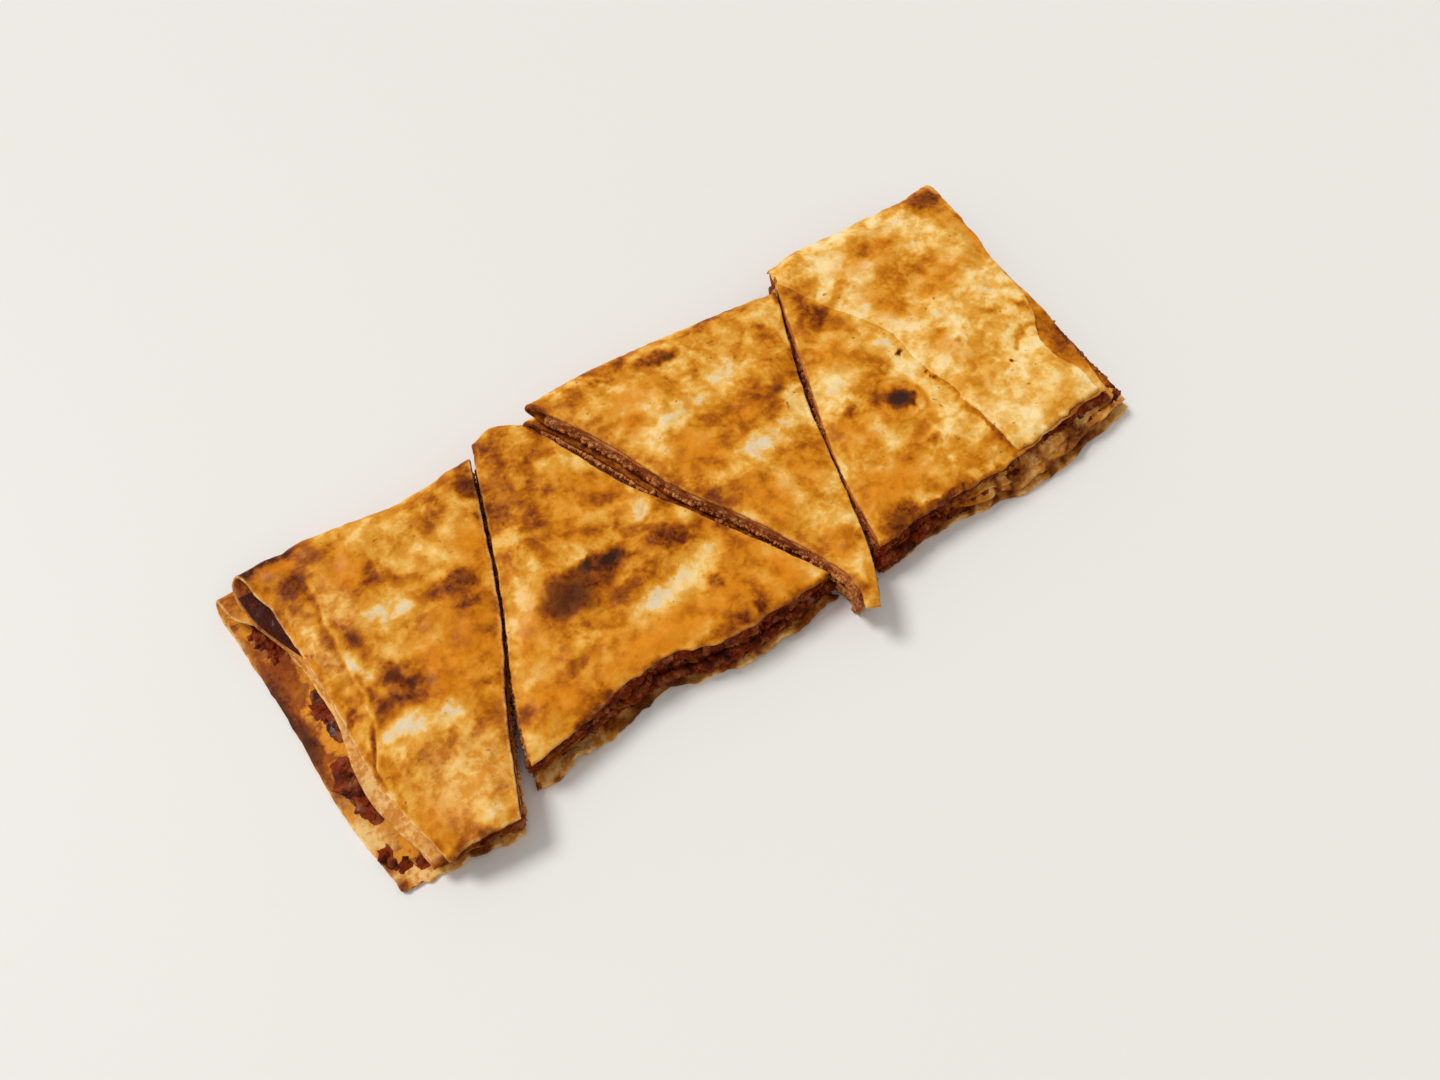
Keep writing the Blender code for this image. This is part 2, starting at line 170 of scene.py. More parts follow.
def patch(shape, across, depth):
    """Places on the plan between the four sides of a slice's top ply."""
    across, depth = np.broadcast_arrays(across, depth)
    front = (shape.left[0],) + shape.front + (shape.right[0],)
    back = (shape.left[-1],) + shape.back + (shape.right[-1],)
    x, y = across[..., None], depth[..., None]
    sides = mix(along(shape.left, depth), along(shape.right, depth), x)
    ends = mix(along(front, across), along(back, across), y)
    corners = mix(mix(np.array(front[0]), np.array(front[-1]), x),
                  mix(np.array(back[0]), np.array(back[-1]), x), y)
    return sides + ends - corners


def plan(shape, across, depth, left=0.0, right=0.0):
    """The patch, drawn out to both sides, and before the front edge along the cuts."""
    across, depth = np.broadcast_arrays(across, depth)
    place = patch(shape, across, np.maximum(depth, 0))
    stride = patch(shape, across, np.full(depth.shape, STRIDE)) - place
    place = place + stride * (np.minimum(depth, 0) / STRIDE)[..., None]
    place[..., 0] += right * across - left * (1 - across)
    return place


def length_of(steps):
    return np.sqrt((steps ** 2).sum(-1))


def depth_of(shape, across):
    """Length of a slice's top ply from front to back."""
    return length_of(patch(shape, across, 1) - patch(shape, across, 0))


def width_of(shape, depth):
    """Width of a slice's top ply from left to right."""
    return length_of(patch(shape, 1, depth) - patch(shape, 0, depth))


def step_of_wrap(place):
    """The end of the outer wrap on the first slice: higher to the right of its line."""
    share = (place[..., 1] - STEP_LINE[0][1]) / (STEP_LINE[-1][1] - STEP_LINE[0][1])
    line = along(STEP_LINE, share)[..., 0]
    return STEP_HEIGHT * (smooth(place[..., 0], line, line + STEP_WIDTH) - 1)


def relief(number, across, depth, place):
    """How far the top ply stands above or below its usual height."""
    shape = SLICES[number]
    height = 0.0
    for size, length, direction, phase in WAVES:
        angle = math.radians(direction)
        run = place[..., 0] * math.cos(angle) + place[..., 1] * math.sin(angle)
        height = height + size * np.sin(2 * math.pi * (run / length + phase))
    row = np.maximum(depth, 0)
    width = width_of(shape, row)
    to_side = np.minimum(across, 1 - across) * width
    to_front = row * depth_of(shape, across)
    height -= EDGE_DROP * (2 - smooth(to_side, 0, SOFT_EDGE) - smooth(to_front, 0, SOFT_EDGE))
    if number == 1:
        height += step_of_wrap(place) - END_CURL * (1 - smooth(across * width, 0, SOFT_EDGE))
    if number == 4:
        distance = length_of(place - np.array(BLISTER))
        height += BLISTER_HEIGHT * (1 - smooth(distance, 0, BLISTER_RADIUS))
    return height


def height_of(number, ply, across, depth, place):
    """Height of the middle of a ply over places on the plan."""
    usual = FLOOR + (HEIGHTS[ply] - FLOOR) * SLICES[number].rise
    return usual + SHARES[ply] * relief(number, across, depth, place)


def fold_start(shape, across):
    return 1 - FOLD_DEPTH / depth_of(shape, across)


def reach_of(shape, ply, depth):
    """How far a ply passes beyond the left and the right side of the top ply."""
    own = shape.reach.get(ply, TOP_REACH)
    share = smooth(depth, *TURN_IN[ply])
    left = mix(along(own.left, depth), shape.fold_left.get(ply, 0.0), share)
    right = mix(along(own.right, depth), shape.fold_right.get(ply, 0.0), share)
    return left, right


def front_of(shape, ply, across):
    own = shape.reach.get(ply, TOP_REACH)
    return -along(own.front, across) / depth_of(shape, across)


def with_height(place, height):
    return np.concatenate((place, height[..., None]), axis=-1)


def on_ply(number, ply, across, run):
    """Points at a share of the way from a ply's front edge to the start of the fold."""
    shape = SLICES[number]
    across, run = np.broadcast_arrays(across, run)
    depth = mix(front_of(shape, ply, across), fold_start(shape, across), run)
    place = plan(shape, across, depth, *reach_of(shape, ply, depth))
    return with_height(place, height_of(number, ply, across, depth, place))


def on_fold(number, bread, across, turn, outset=0.0):
    """Points round the fold, from -90 degrees at the lower ply to 90 at the upper one."""
    shape = SLICES[number]
    across, turn = np.broadcast_arrays(across, turn)
    lower, upper = BREADS[bread]
    flat = fold_start(shape, across)
    angle = np.radians(turn)
    ends = np.ones(across.shape)
    left, right = (mix(below, above, (1 + np.sin(angle)) / 2)
                   for below, above in zip(reach_of(shape, lower, ends), reach_of(shape, upper, ends)))
    start = plan(shape, across, flat, left, right)
    bottom = height_of(number, lower, across, flat, start)
    top = height_of(number, upper, across, flat, start)
    depth = flat + (1 - flat) * np.cos(angle) * (FOLD_DEPTH + outset) / FOLD_DEPTH
    place = plan(shape, across, np.minimum(depth, 1), left, right)
    place[..., 1] += np.maximum(depth - 1, 0) * depth_of(shape, across)
    height = (bottom + top) / 2 + ((top - bottom) / 2 + outset) * np.sin(angle)
    return with_height(place, height)


SEED_STEP = 7.3         # how far apart two seeds lie in the noise


def rough(places, size, seed):
    """Soft noise, mostly within half a unit of 0, with lumps of the given size in metres."""
    flat = (places[..., :2] / size).reshape(-1, 2).tolist()
    values = [noise.noise((x, y, seed * SEED_STEP)) for x, y in flat]
    return np.array(values).reshape(places.shape[:-1])


def lumpy(places, lumps, seed):
    """Soft noise of several heights and sizes together."""
    return sum(height * rough(places, size, seed) for height, size in lumps)


RIM_STEPS = np.array((0.0, 0.00012, 0.00035, 0.00070))      # where points lie from an edge in


def crowded(lengths, count):
    """Shares of each length, close together near both of its ends for the rounded rims."""
    rim = RIM_STEPS / np.asarray(lengths, float)[:, None]
    inner = mix(rim[:, -1:], 1 - rim[:, -1:], np.linspace(0, 1, count)[None, :])
    return np.concatenate((rim[:, :-1], inner, 1 - rim[:, -2::-1]), axis=1)


FOLD_ROWS = 11          # rows of points round a fold


def bread_middle(number, bread, spacing):
    """The middle of a folded sheet: rows along the lower ply, round the fold, and back, and
    how many of them lie on the lower ply. The spacing is that of the points across, along
    the lower ply and along the upper one."""
    column, low_row, high_row = spacing
    shape = SLICES[number]
    lower, upper = BREADS[bread]
    depth = depth_of(shape, 0.5) - FOLD_DEPTH
    widest = max(width_of(shape, 0), width_of(shape, 1))
    count = round(widest / column)
    parts = []
    for ply, row, direction in ((lower, low_row, 1), (upper, high_row, -1)):
        rim = RIM_STEPS / depth
        runs = np.concatenate((rim[:-1], np.linspace(rim[-1], 1, round(depth / row))))[::direction]
        sides = on_ply(number, ply, np.array((0.0, 1.0))[None, :], runs[:, None])
        across = crowded(length_of(sides[:, 1] - sides[:, 0]), count)
        parts.append(on_ply(number, ply, across, runs[:, None]))
        if direction == 1:
            turns = np.linspace(-90, 90, FOLD_ROWS + 2)[1:-1]
            across = np.repeat(across[-1:], FOLD_ROWS, axis=0)
            parts.append(on_fold(number, bread, across, turns[:, None]))
    return np.concatenate(parts), len(parts[0])


def to_edges(middle):
    """Distance of each point of a grid to its left or right edge, and to its first or last row."""
    steps = length_of(np.diff(middle, axis=1))
    columns = np.concatenate((np.zeros((len(middle), 1)), np.cumsum(steps, axis=1)), axis=1)
    steps = length_of(np.diff(middle, axis=0))
    rows = np.concatenate((np.zeros((1, middle.shape[1])), np.cumsum(steps, axis=0)))
    return np.minimum(columns, columns[:, -1:] - columns), np.minimum(rows, rows[-1:] - rows)


# Frayed edges: shares of the given length and sizes of their lumps, and how far in they reach
SIDE_FRAY = ((1, 0.0045), (0.5, 0.0013))
FRONT_FRAY = ((1, 0.0060), (0.5, 0.0020))
SIDE_STRIP = 0.0025
FRONT_STRIP = 0.0040


def fray(middle, seed, side, front):
    """Moves the edges of a grid in and out by up to about the given lengths."""
    to_side, to_front = to_edges(middle)
    side_move = side * (1 - smooth(to_side, 0, SIDE_STRIP))
    front_move = front * (1 - smooth(to_front, 0, FRONT_STRIP))
    middle = middle.copy()
    middle[..., 0] += side_move * lumpy(middle, SIDE_FRAY, seed)
    middle[..., 1] += front_move * lumpy(middle, FRONT_FRAY, seed + 1)
    return middle


def inward_of(middle):
    """Unit vectors across a sheet, to the side that its fold closes in."""
    inward = np.cross(np.gradient(middle, axis=1), np.gradient(middle, axis=0))
    return inward / length_of(inward)[..., None]


def mesh_of(name, points, faces, tones):
    """A smooth mesh with a value at each point for each tone."""
    mesh = bpy.data.meshes.new(name)
    mesh.from_pydata(points.tolist(), [], faces.tolist())
    for tone, values in tones.items():
        layer = mesh.attributes.new(tone, "FLOAT", "POINT")
        layer.data.foreach_set("value", values.astype(np.float32))
    mesh.shade_smooth()
    return mesh


def quads(index):
    """The faces of a grid of point numbers, turning from its columns to its rows."""
    corners = (index[:-1, :-1], index[:-1, 1:], index[1:, 1:], index[1:, :-1])
    return np.stack(corners, axis=-1).reshape(-1, 4)


def sheet_mesh(name, middle, thickness, bumps, tones):
    """A closed sheet round a grid of middle points, with round rims. Bumps lift its outer
    face, and tones gives for each name the values on the outer and on the inner face."""
    rows, columns = middle.shape[:2]
    rim = np.minimum(*to_edges(middle)) / (thickness / 2)
    half = thickness / 2 * np.sqrt(np.clip(1 - (1 - np.clip(rim, 0, 1)) ** 2, 0, 1))
    inward = inward_of(middle)
    outer = middle - inward * (half + bumps * np.clip(rim / 2, 0, 1))[..., None]
    inner = middle + inward * half[..., None]
    index = np.arange(rows * columns).reshape(rows, columns)
    second = index.copy()
    inside = np.arange((rows - 2) * (columns - 2)).reshape(rows - 2, -1)
    second[1:-1, 1:-1] = rows * columns + inside
    points = np.concatenate((outer.reshape(-1, 3), inner[1:-1, 1:-1].reshape(-1, 3)))
    points[:, 2] = np.maximum(points[:, 2], 0)
    faces = np.concatenate((quads(index)[:, ::-1], quads(second)))
    values = {tone: np.concatenate((outer_face.ravel(), inner_face[1:-1, 1:-1].ravel()))
              for tone, (outer_face, inner_face) in tones.items()}
    return mesh_of(name, points, faces, values)


SPOT_WANDER = ((1.6, 0.0040), (0.8, 0.0014))    # heights in millimetres, and sizes of lumps
SPOT_RIM = (0.1, 1.45)      # shares of its half width between which a spot fades


def spotted(places, spots, seed):
    """How strongly each place lies in one of the spots. A spot is its middle, its two half
    widths in millimetres, its turn in degrees, and its strength."""
    shifted = places[..., :2] * 1000
    shifted[..., 0] += lumpy(places, SPOT_WANDER, seed)
    shifted[..., 1] += lumpy(places, SPOT_WANDER, seed + 3)
    value = np.zeros(places.shape[:-1])
    for x, y, half_x, half_y, turn, strength in spots:
        angle = math.radians(turn)
        over, up = shifted[..., 0] - x, shifted[..., 1] - y
        first = (over * math.cos(angle) + up * math.sin(angle)) / half_x
        second = (up * math.cos(angle) - over * math.sin(angle)) / half_y
        distance = np.sqrt(first ** 2 + second ** 2)
        value = np.maximum(value, strength * (1 - smooth(distance, *SPOT_RIM)))
    return value


LINE_WANDER = 0.0009    # how far a line wanders from its corners
LINE_LUMPS = (0.0050, 0.0060)


def near_line(places, line, width, seed):
    """1 on a wandering line through corners in millimetres, and 0 from the given width in
    metres on."""
    corners = np.array(line, float) / 1000
    wander = [rough(places, size, seed + step) for step, size in enumerate(LINE_LUMPS)]
    flat = places[..., :2] + LINE_WANDER * np.stack(wander, axis=-1)
    distance = np.full(flat.shape[:-1], 1.0)
    for start, end in zip(corners, corners[1:]):
        stretch = end - start
        share = np.clip(((flat - start) @ stretch) / (stretch @ stretch), 0, 1)
        distance = np.minimum(distance, length_of(flat - start - share[..., None] * stretch))
    return 1 - smooth(distance, 0, width)


class Wire:
    """An output of a node, on which sums can be written."""

    def __init__(self, tree, socket=None):
        self.tree = tree
        self.socket = socket

    def node(self, kind, settings, inputs, output=0):
        """A new node: its settings first, then the values or wires of its inputs."""
        made = self.tree.nodes.new(kind)
        for name, value in settings.items():
            if name == "stops":
                self.set_stops(made.color_ramp.elements, value)
            else:
                setattr(made, name, value)
        self.feed(made, inputs)
        return Wire(self.tree, made.outputs[output])

    def set_stops(self, elements, stops):
        while len(elements) < len(stops):
            elements.new(0.5)
        for element, (position, colour) in zip(elements, stops):
            element.position = position
            element.color = colour

    def feed(self, node, inputs):
        """Wires the inputs of a node, or sets them to values."""
        for name, value in inputs.items():
            socket = next(each for each in node.inputs if each.identifier == name)
            if isinstance(value, Wire):
                self.tree.links.new(value.socket, socket)
            else:
                socket.default_value = value

    def output(self, name):
        """Another output of the same node."""
        return Wire(self.tree, self.socket.node.outputs[name])

    def math(self, operation, first, second):
        return self.node("ShaderNodeMath", {"operation": operation},
                         {"Value": first, "Value_001": second})

    def __add__(self, other):
        return self.math("ADD", self, other)

    def __sub__(self, other):
        return self.math("SUBTRACT", self, other)

    def __rsub__(self, other):
        return self.math("SUBTRACT", other, self)

    def __mul__(self, other):
        return self.math("MULTIPLY", self, other)

    __radd__ = __add__
    __rmul__ = __mul__

    def scaled(self, share):
        """This vector, longer or shorter."""
        return self.node("ShaderNodeVectorMath", {"operation": "SCALE"},
                         {"Vector": self, "Scale": share})

    def step(self, low, high):
        """0 where this is below low, 1 above high, and smooth between them."""
        return self.node("ShaderNodeMapRange", {"interpolation_type": "SMOOTHSTEP"},
                         {"Value": self, "From Min": low, "From Max": high})

    def between(self, first, second):
        """The first colour where this is 0, and the second one where it is 1."""
        return self.node("ShaderNodeMix", {"data_type": "RGBA"},
                         {"Factor_Float": self, "A_Color": first, "B_Color": second}, 2)

    def tint(self, over, share):
        """This colour with another laid over it."""
        return share.between(self, over)

    def tone(self, name):
        """A tone that a mesh keeps at its points."""
        return self.node("ShaderNodeAttribute", {"attribute_name": name}, {}, "Fac")

    def bump(self, strength, depth):
        """The slope of a surface that this raises."""
        return self.node("ShaderNodeBump", {},
                         {"Strength": strength, "Distance": depth, "Height": self})


def paint(red, green, blue):
    """A colour from 0 to 255, as the eye sees it, in the linear values of a shader."""
    parts = [value / 255 for value in (red, green, blue)]
    return tuple(((part + 0.055) / 1.055) ** 2.4 for part in parts) + (1.0,)


# Dough from burnt to unbaked, as stops of a ramp
BAKED = ((0.00, paint(60, 22, 8)), (0.12, paint(104, 42, 6)), (0.24, paint(148, 74, 8)),
         (0.36, paint(182, 102, 8)), (0.48, paint(206, 128, 22)), (0.60, paint(221, 151, 46)),
         (0.72, paint(233, 173, 76)), (0.84, paint(244, 198, 114)), (1.00, paint(252, 222, 160)))
CHAR = paint(54, 28, 18)
AMBER = paint(226, 132, 10)
FRECKLE = paint(146, 82, 28)
FLOUR = paint(222, 204, 172)
OILY = paint(232, 150, 40)
STAIN = paint(136, 52, 12)
CRUMB = paint(216, 142, 60)
CRUMB_PALE = paint(248, 204, 130)


def new_finish(name):
    """A material, its surface, and the first wire in its nodes."""
    finish = bpy.data.materials.new(name)
    finish.use_nodes = True
    return finish, finish.node_tree.nodes["Principled BSDF"], Wire(finish.node_tree)


def dough_finish(name, level):
    """Grilled dough of a usual level on the ramp, with pale, orange, brown and charred
    places, dry crumb at torn rims, and oily stains on the inner faces."""
    finish, surface, start = new_finish(name)
    place = start.node("ShaderNodeTexCoord", {}, {}, "Object")

    def grain(size, detail=3.0, swirl=0.0):
        return start.node("ShaderNodeTexNoise", {},
                          {"Vector": place, "Scale": 1 / size, "Detail": detail, "Roughness": 0.58,
                           "Distortion": swirl})

    broad = grain(0.022, 2.0)
    patches = grain(0.0105, 3.0, 0.3)
    middle = grain(0.0046, 4.0, 0.2)
    fine = grain(0.0015, 3.0)
    pale, orange, brown, char, dry, inside = (
        start.tone(name) for name in ("pale", "orange", "brown", "char", "dry", "inside"))
    uneven = (broad - 0.5) * 1.1 + (patches - 0.5) * 0.6 + (middle - 0.5) * 0.5 + (fine - 0.5) * 0.25
    blotches = (patches.step(0.44, 0.58) - 0.5) * 0.14 + (middle.step(0.45, 0.58) - 0.5) * 0.09
    baked = level + uneven + blotches
    baked = baked + orange * (0.50 - baked + (middle - 0.5) * 1.0) * 0.60
    baked = baked + pale * (0.84 - baked + (middle - 0.5) * 1.1) * 0.85
    scorched = (brown + char).step(0.0, 1.0)
    baked = baked + scorched * (0.17 - baked + (fine - 0.5) * 0.6 + (middle - 0.5) * 0.5) * 0.92
    colour = baked.node("ShaderNodeValToRGB", {"stops": BAKED}, {"Fac": baked})
    golden = (patches + middle).step(0.70, 1.15) * 0.8
    colour = colour.tint(AMBER, orange * (1 - pale) * (1 - scorched) * golden)
    colour = colour.tint(FRECKLE, grain(0.0020, 1.0).step(0.71, 0.78) * (1 - orange) * 0.7)
    floury = (pale + (middle - 0.5) * 2.2 + (fine - 0.5) * 1.2).step(0.80, 1.40)
    colour = colour.tint(FLOUR, floury * (1 - scorched) * 0.8)
    burnt = char + (fine - 0.5) * 0.6 + (middle - 0.5) * 0.6
    colour = colour.tint(CHAR, burnt.step(0.15, 0.95) * 0.95)
    soaked = (middle + brown * 0.3).step(0.44, 0.62).between(OILY, STAIN)
    colour = colour.tint(soaked, inside * (1 - pale) * (1 - brown) * (1 - char) * (1 - dry * 0.8))
    crumb = (middle + fine).step(0.86, 1.12).between(CRUMB, CRUMB_PALE)
    colour = colour.tint(crumb, dry * (1 - char) * (1 - brown) * 0.75)
    height = middle * 0.5 + fine * 0.35 + grain(0.0006, 2.0) * 0.10
    shine = (orange * 0.5 + grain(0.009, 2.0)).step(0.62, 0.85) * (1 - pale)
    start.feed(surface, {"Base Color": colour, "Normal": height.bump(0.8, 0.0009),
                         "Roughness": 0.44 + pale * 0.2 + (fine - 0.5) * 0.4,
                         "Coat Weight": shine * 0.06, "Coat Roughness": 0.25,
                         "Specular IOR Level": 0.06})
    return finish


def add_tone(tones, kind, values, faces=(0, 1)):
    """Raises a tone to the given values on the outer face, 0, the inner one, 1, or both."""
    for face in faces:
        tones[kind][face] = np.maximum(tones[kind][face], values)


# Widths over which the tones of a sheet's rims fade
DRY_RIM = (0.0003, 0.0009)
SCORCHED_FRONT = 0.0035
SCORCH_LUMPS = 0.0090
SOAKED_RIM = (0.0005, 0.0020)
STAIN_RIM = (0.0001, 0.0006)
OPEN_RIMS = 0.9         # how dry the rims of an open-ended sheet are
CUT_RIMS = 0.2          # and those of the others


def bread_tones(places, seed, spots, inner_spots, dark_rows=slice(0, 0), open_ended=False):
    """The tones of a sheet's outer and inner faces. Dark rows have rims soaked by the mince,
    but for the sides of an open-ended sheet, whose rims are pale."""
    to_side, to_front = to_edges(places)
    nearest = np.minimum(to_side, to_front)
    none = np.zeros(places.shape[:-1])
    rims = (OPEN_RIMS if open_ended else CUT_RIMS) * (1 - smooth(nearest, *DRY_RIM))
    scorched = 1 - smooth(to_front, 0, SCORCHED_FRONT)
    scorched = scorched * smooth(rough(places, SCORCH_LUMPS, seed), -0.15, 0.35)
    tones = {kind: [spotted(places, spots.get(kind, ()), seed),
                    spotted(places, inner_spots.get(kind, ()), seed)]
             for kind in ("pale", "orange", "brown", "char", "dry")}
    add_tone(tones, "brown", 0.8 * scorched, (0,))
    soaked_rims = none.copy()
    soaked_rims[dark_rows] = 1 - smooth((to_front if open_ended else nearest)[dark_rows], *SOAKED_RIM)
    rims = rims * (1 - soaked_rims) * (1 - np.clip(1.5 * tones["char"][1], 0, 1))
    add_tone(tones, "brown", soaked_rims)
    add_tone(tones, "dry", rims)
    tones["inside"] = (none, smooth(nearest, *STAIN_RIM))
    return tones


DRY_STRIP = (0.0045, 0.0070)
DRY_LUMPS = 0.0048
DRY_SEED = 64           # for the last slice's middle plies, so that both match
DRY_FROM = (0.054, 0.066)       # they are dry to the right of this


def dry_front(middle, tones, rows, seed, share=1.0):
    """Makes the strip along the front of some rows of a sheet dry in lumps, and brown between
    them."""
    strip = np.zeros(middle.shape[:-1])
    strip[rows] = (share * (1 - smooth(to_edges(middle)[1], *DRY_STRIP)))[rows]
    lumps = rough(middle, DRY_LUMPS, seed)
    tones["brown"] = [brown * (1 - 0.8 * strip) for brown in tones["brown"]]
    torn = strip * (0.45 + 0.55 * smooth(lumps, -0.10, 0.10)) * (1 - tones["brown"][1])
    add_tone(tones, "dry", torn)
    between = strip * 0.85 * smooth(-lumps, 0.04, 0.20)
    add_tone(tones, "brown", between)
    add_tone(tones, "char", 0.3 * between)


DROOP = 0.0012
DROOP_FOLDS = ((0.0028, 0.0065),)   # height and size
DROOP_STRIP = 0.0065
DROOP_FROM = (0.056, 0.068)         # where it starts and ends along the row
DROOP_UP_TO = (0.098, 0.106)


def drooped(middle, rows):
    """The last slice's middle plies, hanging in folds where the mince stops short of their
    front, from the middle of the slice to its right end."""
    hanging = (1 - smooth(to_edges(middle)[1], 0, DROOP_STRIP)) * smooth(middle[..., 0], *DROOP_FROM)
    hanging *= 1 - smooth(middle[..., 0], *DROOP_UP_TO)
    middle = middle.copy()
    middle[rows, :, 2] -= (hanging * (DROOP + lumpy(middle, DROOP_FOLDS, 81)))[rows]
    return middle


dough = dough_finish("grilled dough", 0.515)
brown_dough = dough_finish("brown grilled dough", 0.415)
golden_dough = dough_finish("golden grilled dough", 0.57)


def put_in_place(name, mesh, finish, node):
    """Shows a mesh for a node of the frame."""
    mesh.materials.append(finish)
    piece = bpy.data.objects.new(name, mesh)
    bpy.context.scene.collection.objects.link(piece)
    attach(piece, "root")
    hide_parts(node)


# What shows of the floor plies beyond the mince: a burnt rim and dry patches at the open end,
# and a dry strip along the front
INNER_FLOOR = {
    1: {"brown": ((-121.8, 12, 3.0, 26, -1, 1.0), (-117, 22, 3, 8, 0, 0.6), (-98, -48, 8, 4, 0, 1),
                  (-118.5, -13, 3, 11, 4, 0.6), (-121, -35, 1.6, 3.5, 0, 0.9), (-113, -39, 3, 2, 0, 0.6)),
        "char": ((-122.3, 10, 2.2, 22, -1, 0.75),),
        "pale": ((-119.6, -27, 3.2, 9, 2, 0.3), (-114, -44.5, 9, 3.0, -18, 0.3)),
        "dry": ((-114, -44.5, 9, 3.0, -18, 1), (-119.6, -27, 3.2, 10, 2, 0.9), (-122, -24, 2, 10, 0, 1))},
    2: {"pale": ((-73, -41, 10, 5, -25, 0.3), (-8, -45, 13, 5, 10, 0.4)),
        "brown": ((-42, -40, 20, 5, 0, 1),), "char": ((-42, -40, 19, 5, 0, 0.7),)},
    3: {"brown": ((14, -46, 4, 6, 0, 1),)},
    4: {"pale": ((70, -48, 10, 4, 0, 0.3), (88, -50, 10, 6, 0, 0.4)),
        "brown": ((42, -44, 15, 4, 0, 1), (112, -46, 7, 8, 0, 0.9)),
        "char": ((42, -44, 14, 4, 0, 0.6), (103, -50, 5, 4, 0, 0.8))}}

# The third slice's lower plies come out of the cut at its left, soaked by the mince
LEDGE = {"brown": ((-11, 18, 5, 9, 0, 1), (-16, 30, 5, 9, 0, 1), (-21, 43, 5, 9, 0, 1))}

LOWER_SPACING = (0.0012, 0.0015, 0.0020)
LOWER_SIDE_FRAY = 0.0004
LOWER_FRAY = {1: 0.0016, 2: 0.0016, 3: 0.0016, 4: 0.0008}   # along the front
LIFT = {1: 0.0012, 2: 0.0022, 3: 0.0012, 4: 0.0022}     # of the front edge, in places
LIFT_LUMPS = 0.0100
LIFT_STRIP = 0.0040
LOWER_BUMPS = ((0.00025, 0.0045), (0.00012, 0.0018))        # heights and sizes

for number in SLICES:
    middle, floor_rows = bread_middle(number, "lower", LOWER_SPACING)
    middle = fray(middle, number, LOWER_SIDE_FRAY, LOWER_FRAY[number])
    lift = np.clip(2.5 * rough(middle, LIFT_LUMPS, 70 + number), 0, 1)
    lift *= 1 - smooth(to_edges(middle)[1], 0, LIFT_STRIP)
    middle[:floor_rows, :, 2] += LIFT[number] * lift[:floor_rows]
    if number == 4:
        middle = drooped(middle, slice(floor_rows + FOLD_ROWS, None))
    tones = bread_tones(middle, 20 + number, LEDGE if number == 3 else {}, INNER_FLOOR[number],
                        slice(floor_rows, None), number == 1)
    dry_front(middle, tones, slice(0, floor_rows), 60 + number)
    if number == 4:
        dry_front(middle, tones, slice(floor_rows, None), DRY_SEED, smooth(middle[..., 0], *DRY_FROM))
    name = f"slice_{number}_lower_bread"
    mesh = sheet_mesh(name, middle, PLY, lumpy(middle, LOWER_BUMPS, number), tones)
    put_in_place(name + "_baked", mesh, dough, name)

# The mince in the lower breads. It is a spiced layer of cooked minced meat, pressed flat
# between the plies and crumbly where the knife went through. It sticks to the bread.
INTO_FOLD = 0.0010      # how far it reaches into the fold
MINCE_FOLLOWS = (0.3, 0.8)  # shares of its depth between which its rows keep to the ply's
OPEN_END = 0.0100       # how far the first slice's lower mince passes beyond its top ply
OPEN_GAP = 0.0025       # how far the first slice's upper mince stays behind its top ply
LOOP = (0.66, 0.78)     # shares of the depth between which it starts to fill the open loop
LOOP_GAP = 0.0008       # how far it stays behind the loop's lower ply
END_GAP = 0.0007        # how far the last slice's mince stays behind its right edge
PRESSED_IN = 0.0002     # into both plies
THIN_END = {"lower": 0.0100, "upper": 0.0020}   # beyond the top ply it thins out over this
THIN_SHARE = 0.45       # to this share of its height
MINCE_CELL = 0.0015     # spacing of its points
# The mince darkens towards its front: partly seared colour, partly painted shade under the overhanging
# plies, deepest under the third slice's tip
SEARED_AND_SHADED_FRONT = 0.0010         # how far in from its front it is quite dark
SEARED_AND_SHADED_DEPTH = {1: 0.0060, 2: 0.0060, 3: 0.0180, 4: 0.0060}
SEARED_END = (0.106, 0.112)     # the last slice's mince darkens again to the right

# The rings of a wall: height as a share of the layer, how far it stands proud and is raised,
# so that crumbs cover the soaked rims of the plies next to it, and its share of crumbs
WALL = {"lower": ((0.0, 0.0, 0.0, 0.3), (0.25, 0.0001, 0.0, 1), (0.5, 0.0001, 0.0, 1),
                  (0.75, 0.0001, 0.0, 1), (1.0, 0.0003, 0.0006, 1)),
        "upper": ((0.0, 0.0003, -0.0006, 1), (0.25, 0.0001, 0.0, 1), (0.5, 0.0001, 0.0, 1),
                  (0.75, 0.0, 0.0, 0), (1.0, 0.0, 0.0, 0))}

# Where mince still sticks to the open floor of the first slice
STUCK = ((-113.4, 8, 3.2, 9, 0, 1), (-117.2, -15, 3.5, 11, 4, 1), (-120.4, -34, 1.5, 3.5, 0, 1),
         (-112.5, -39.5, 2.6, 1.5, 0, 1), (-117.8, -37.8, 2.4, 1.2, -20, 0.9), (-117, 37, 2.5, 8, 0, 1))


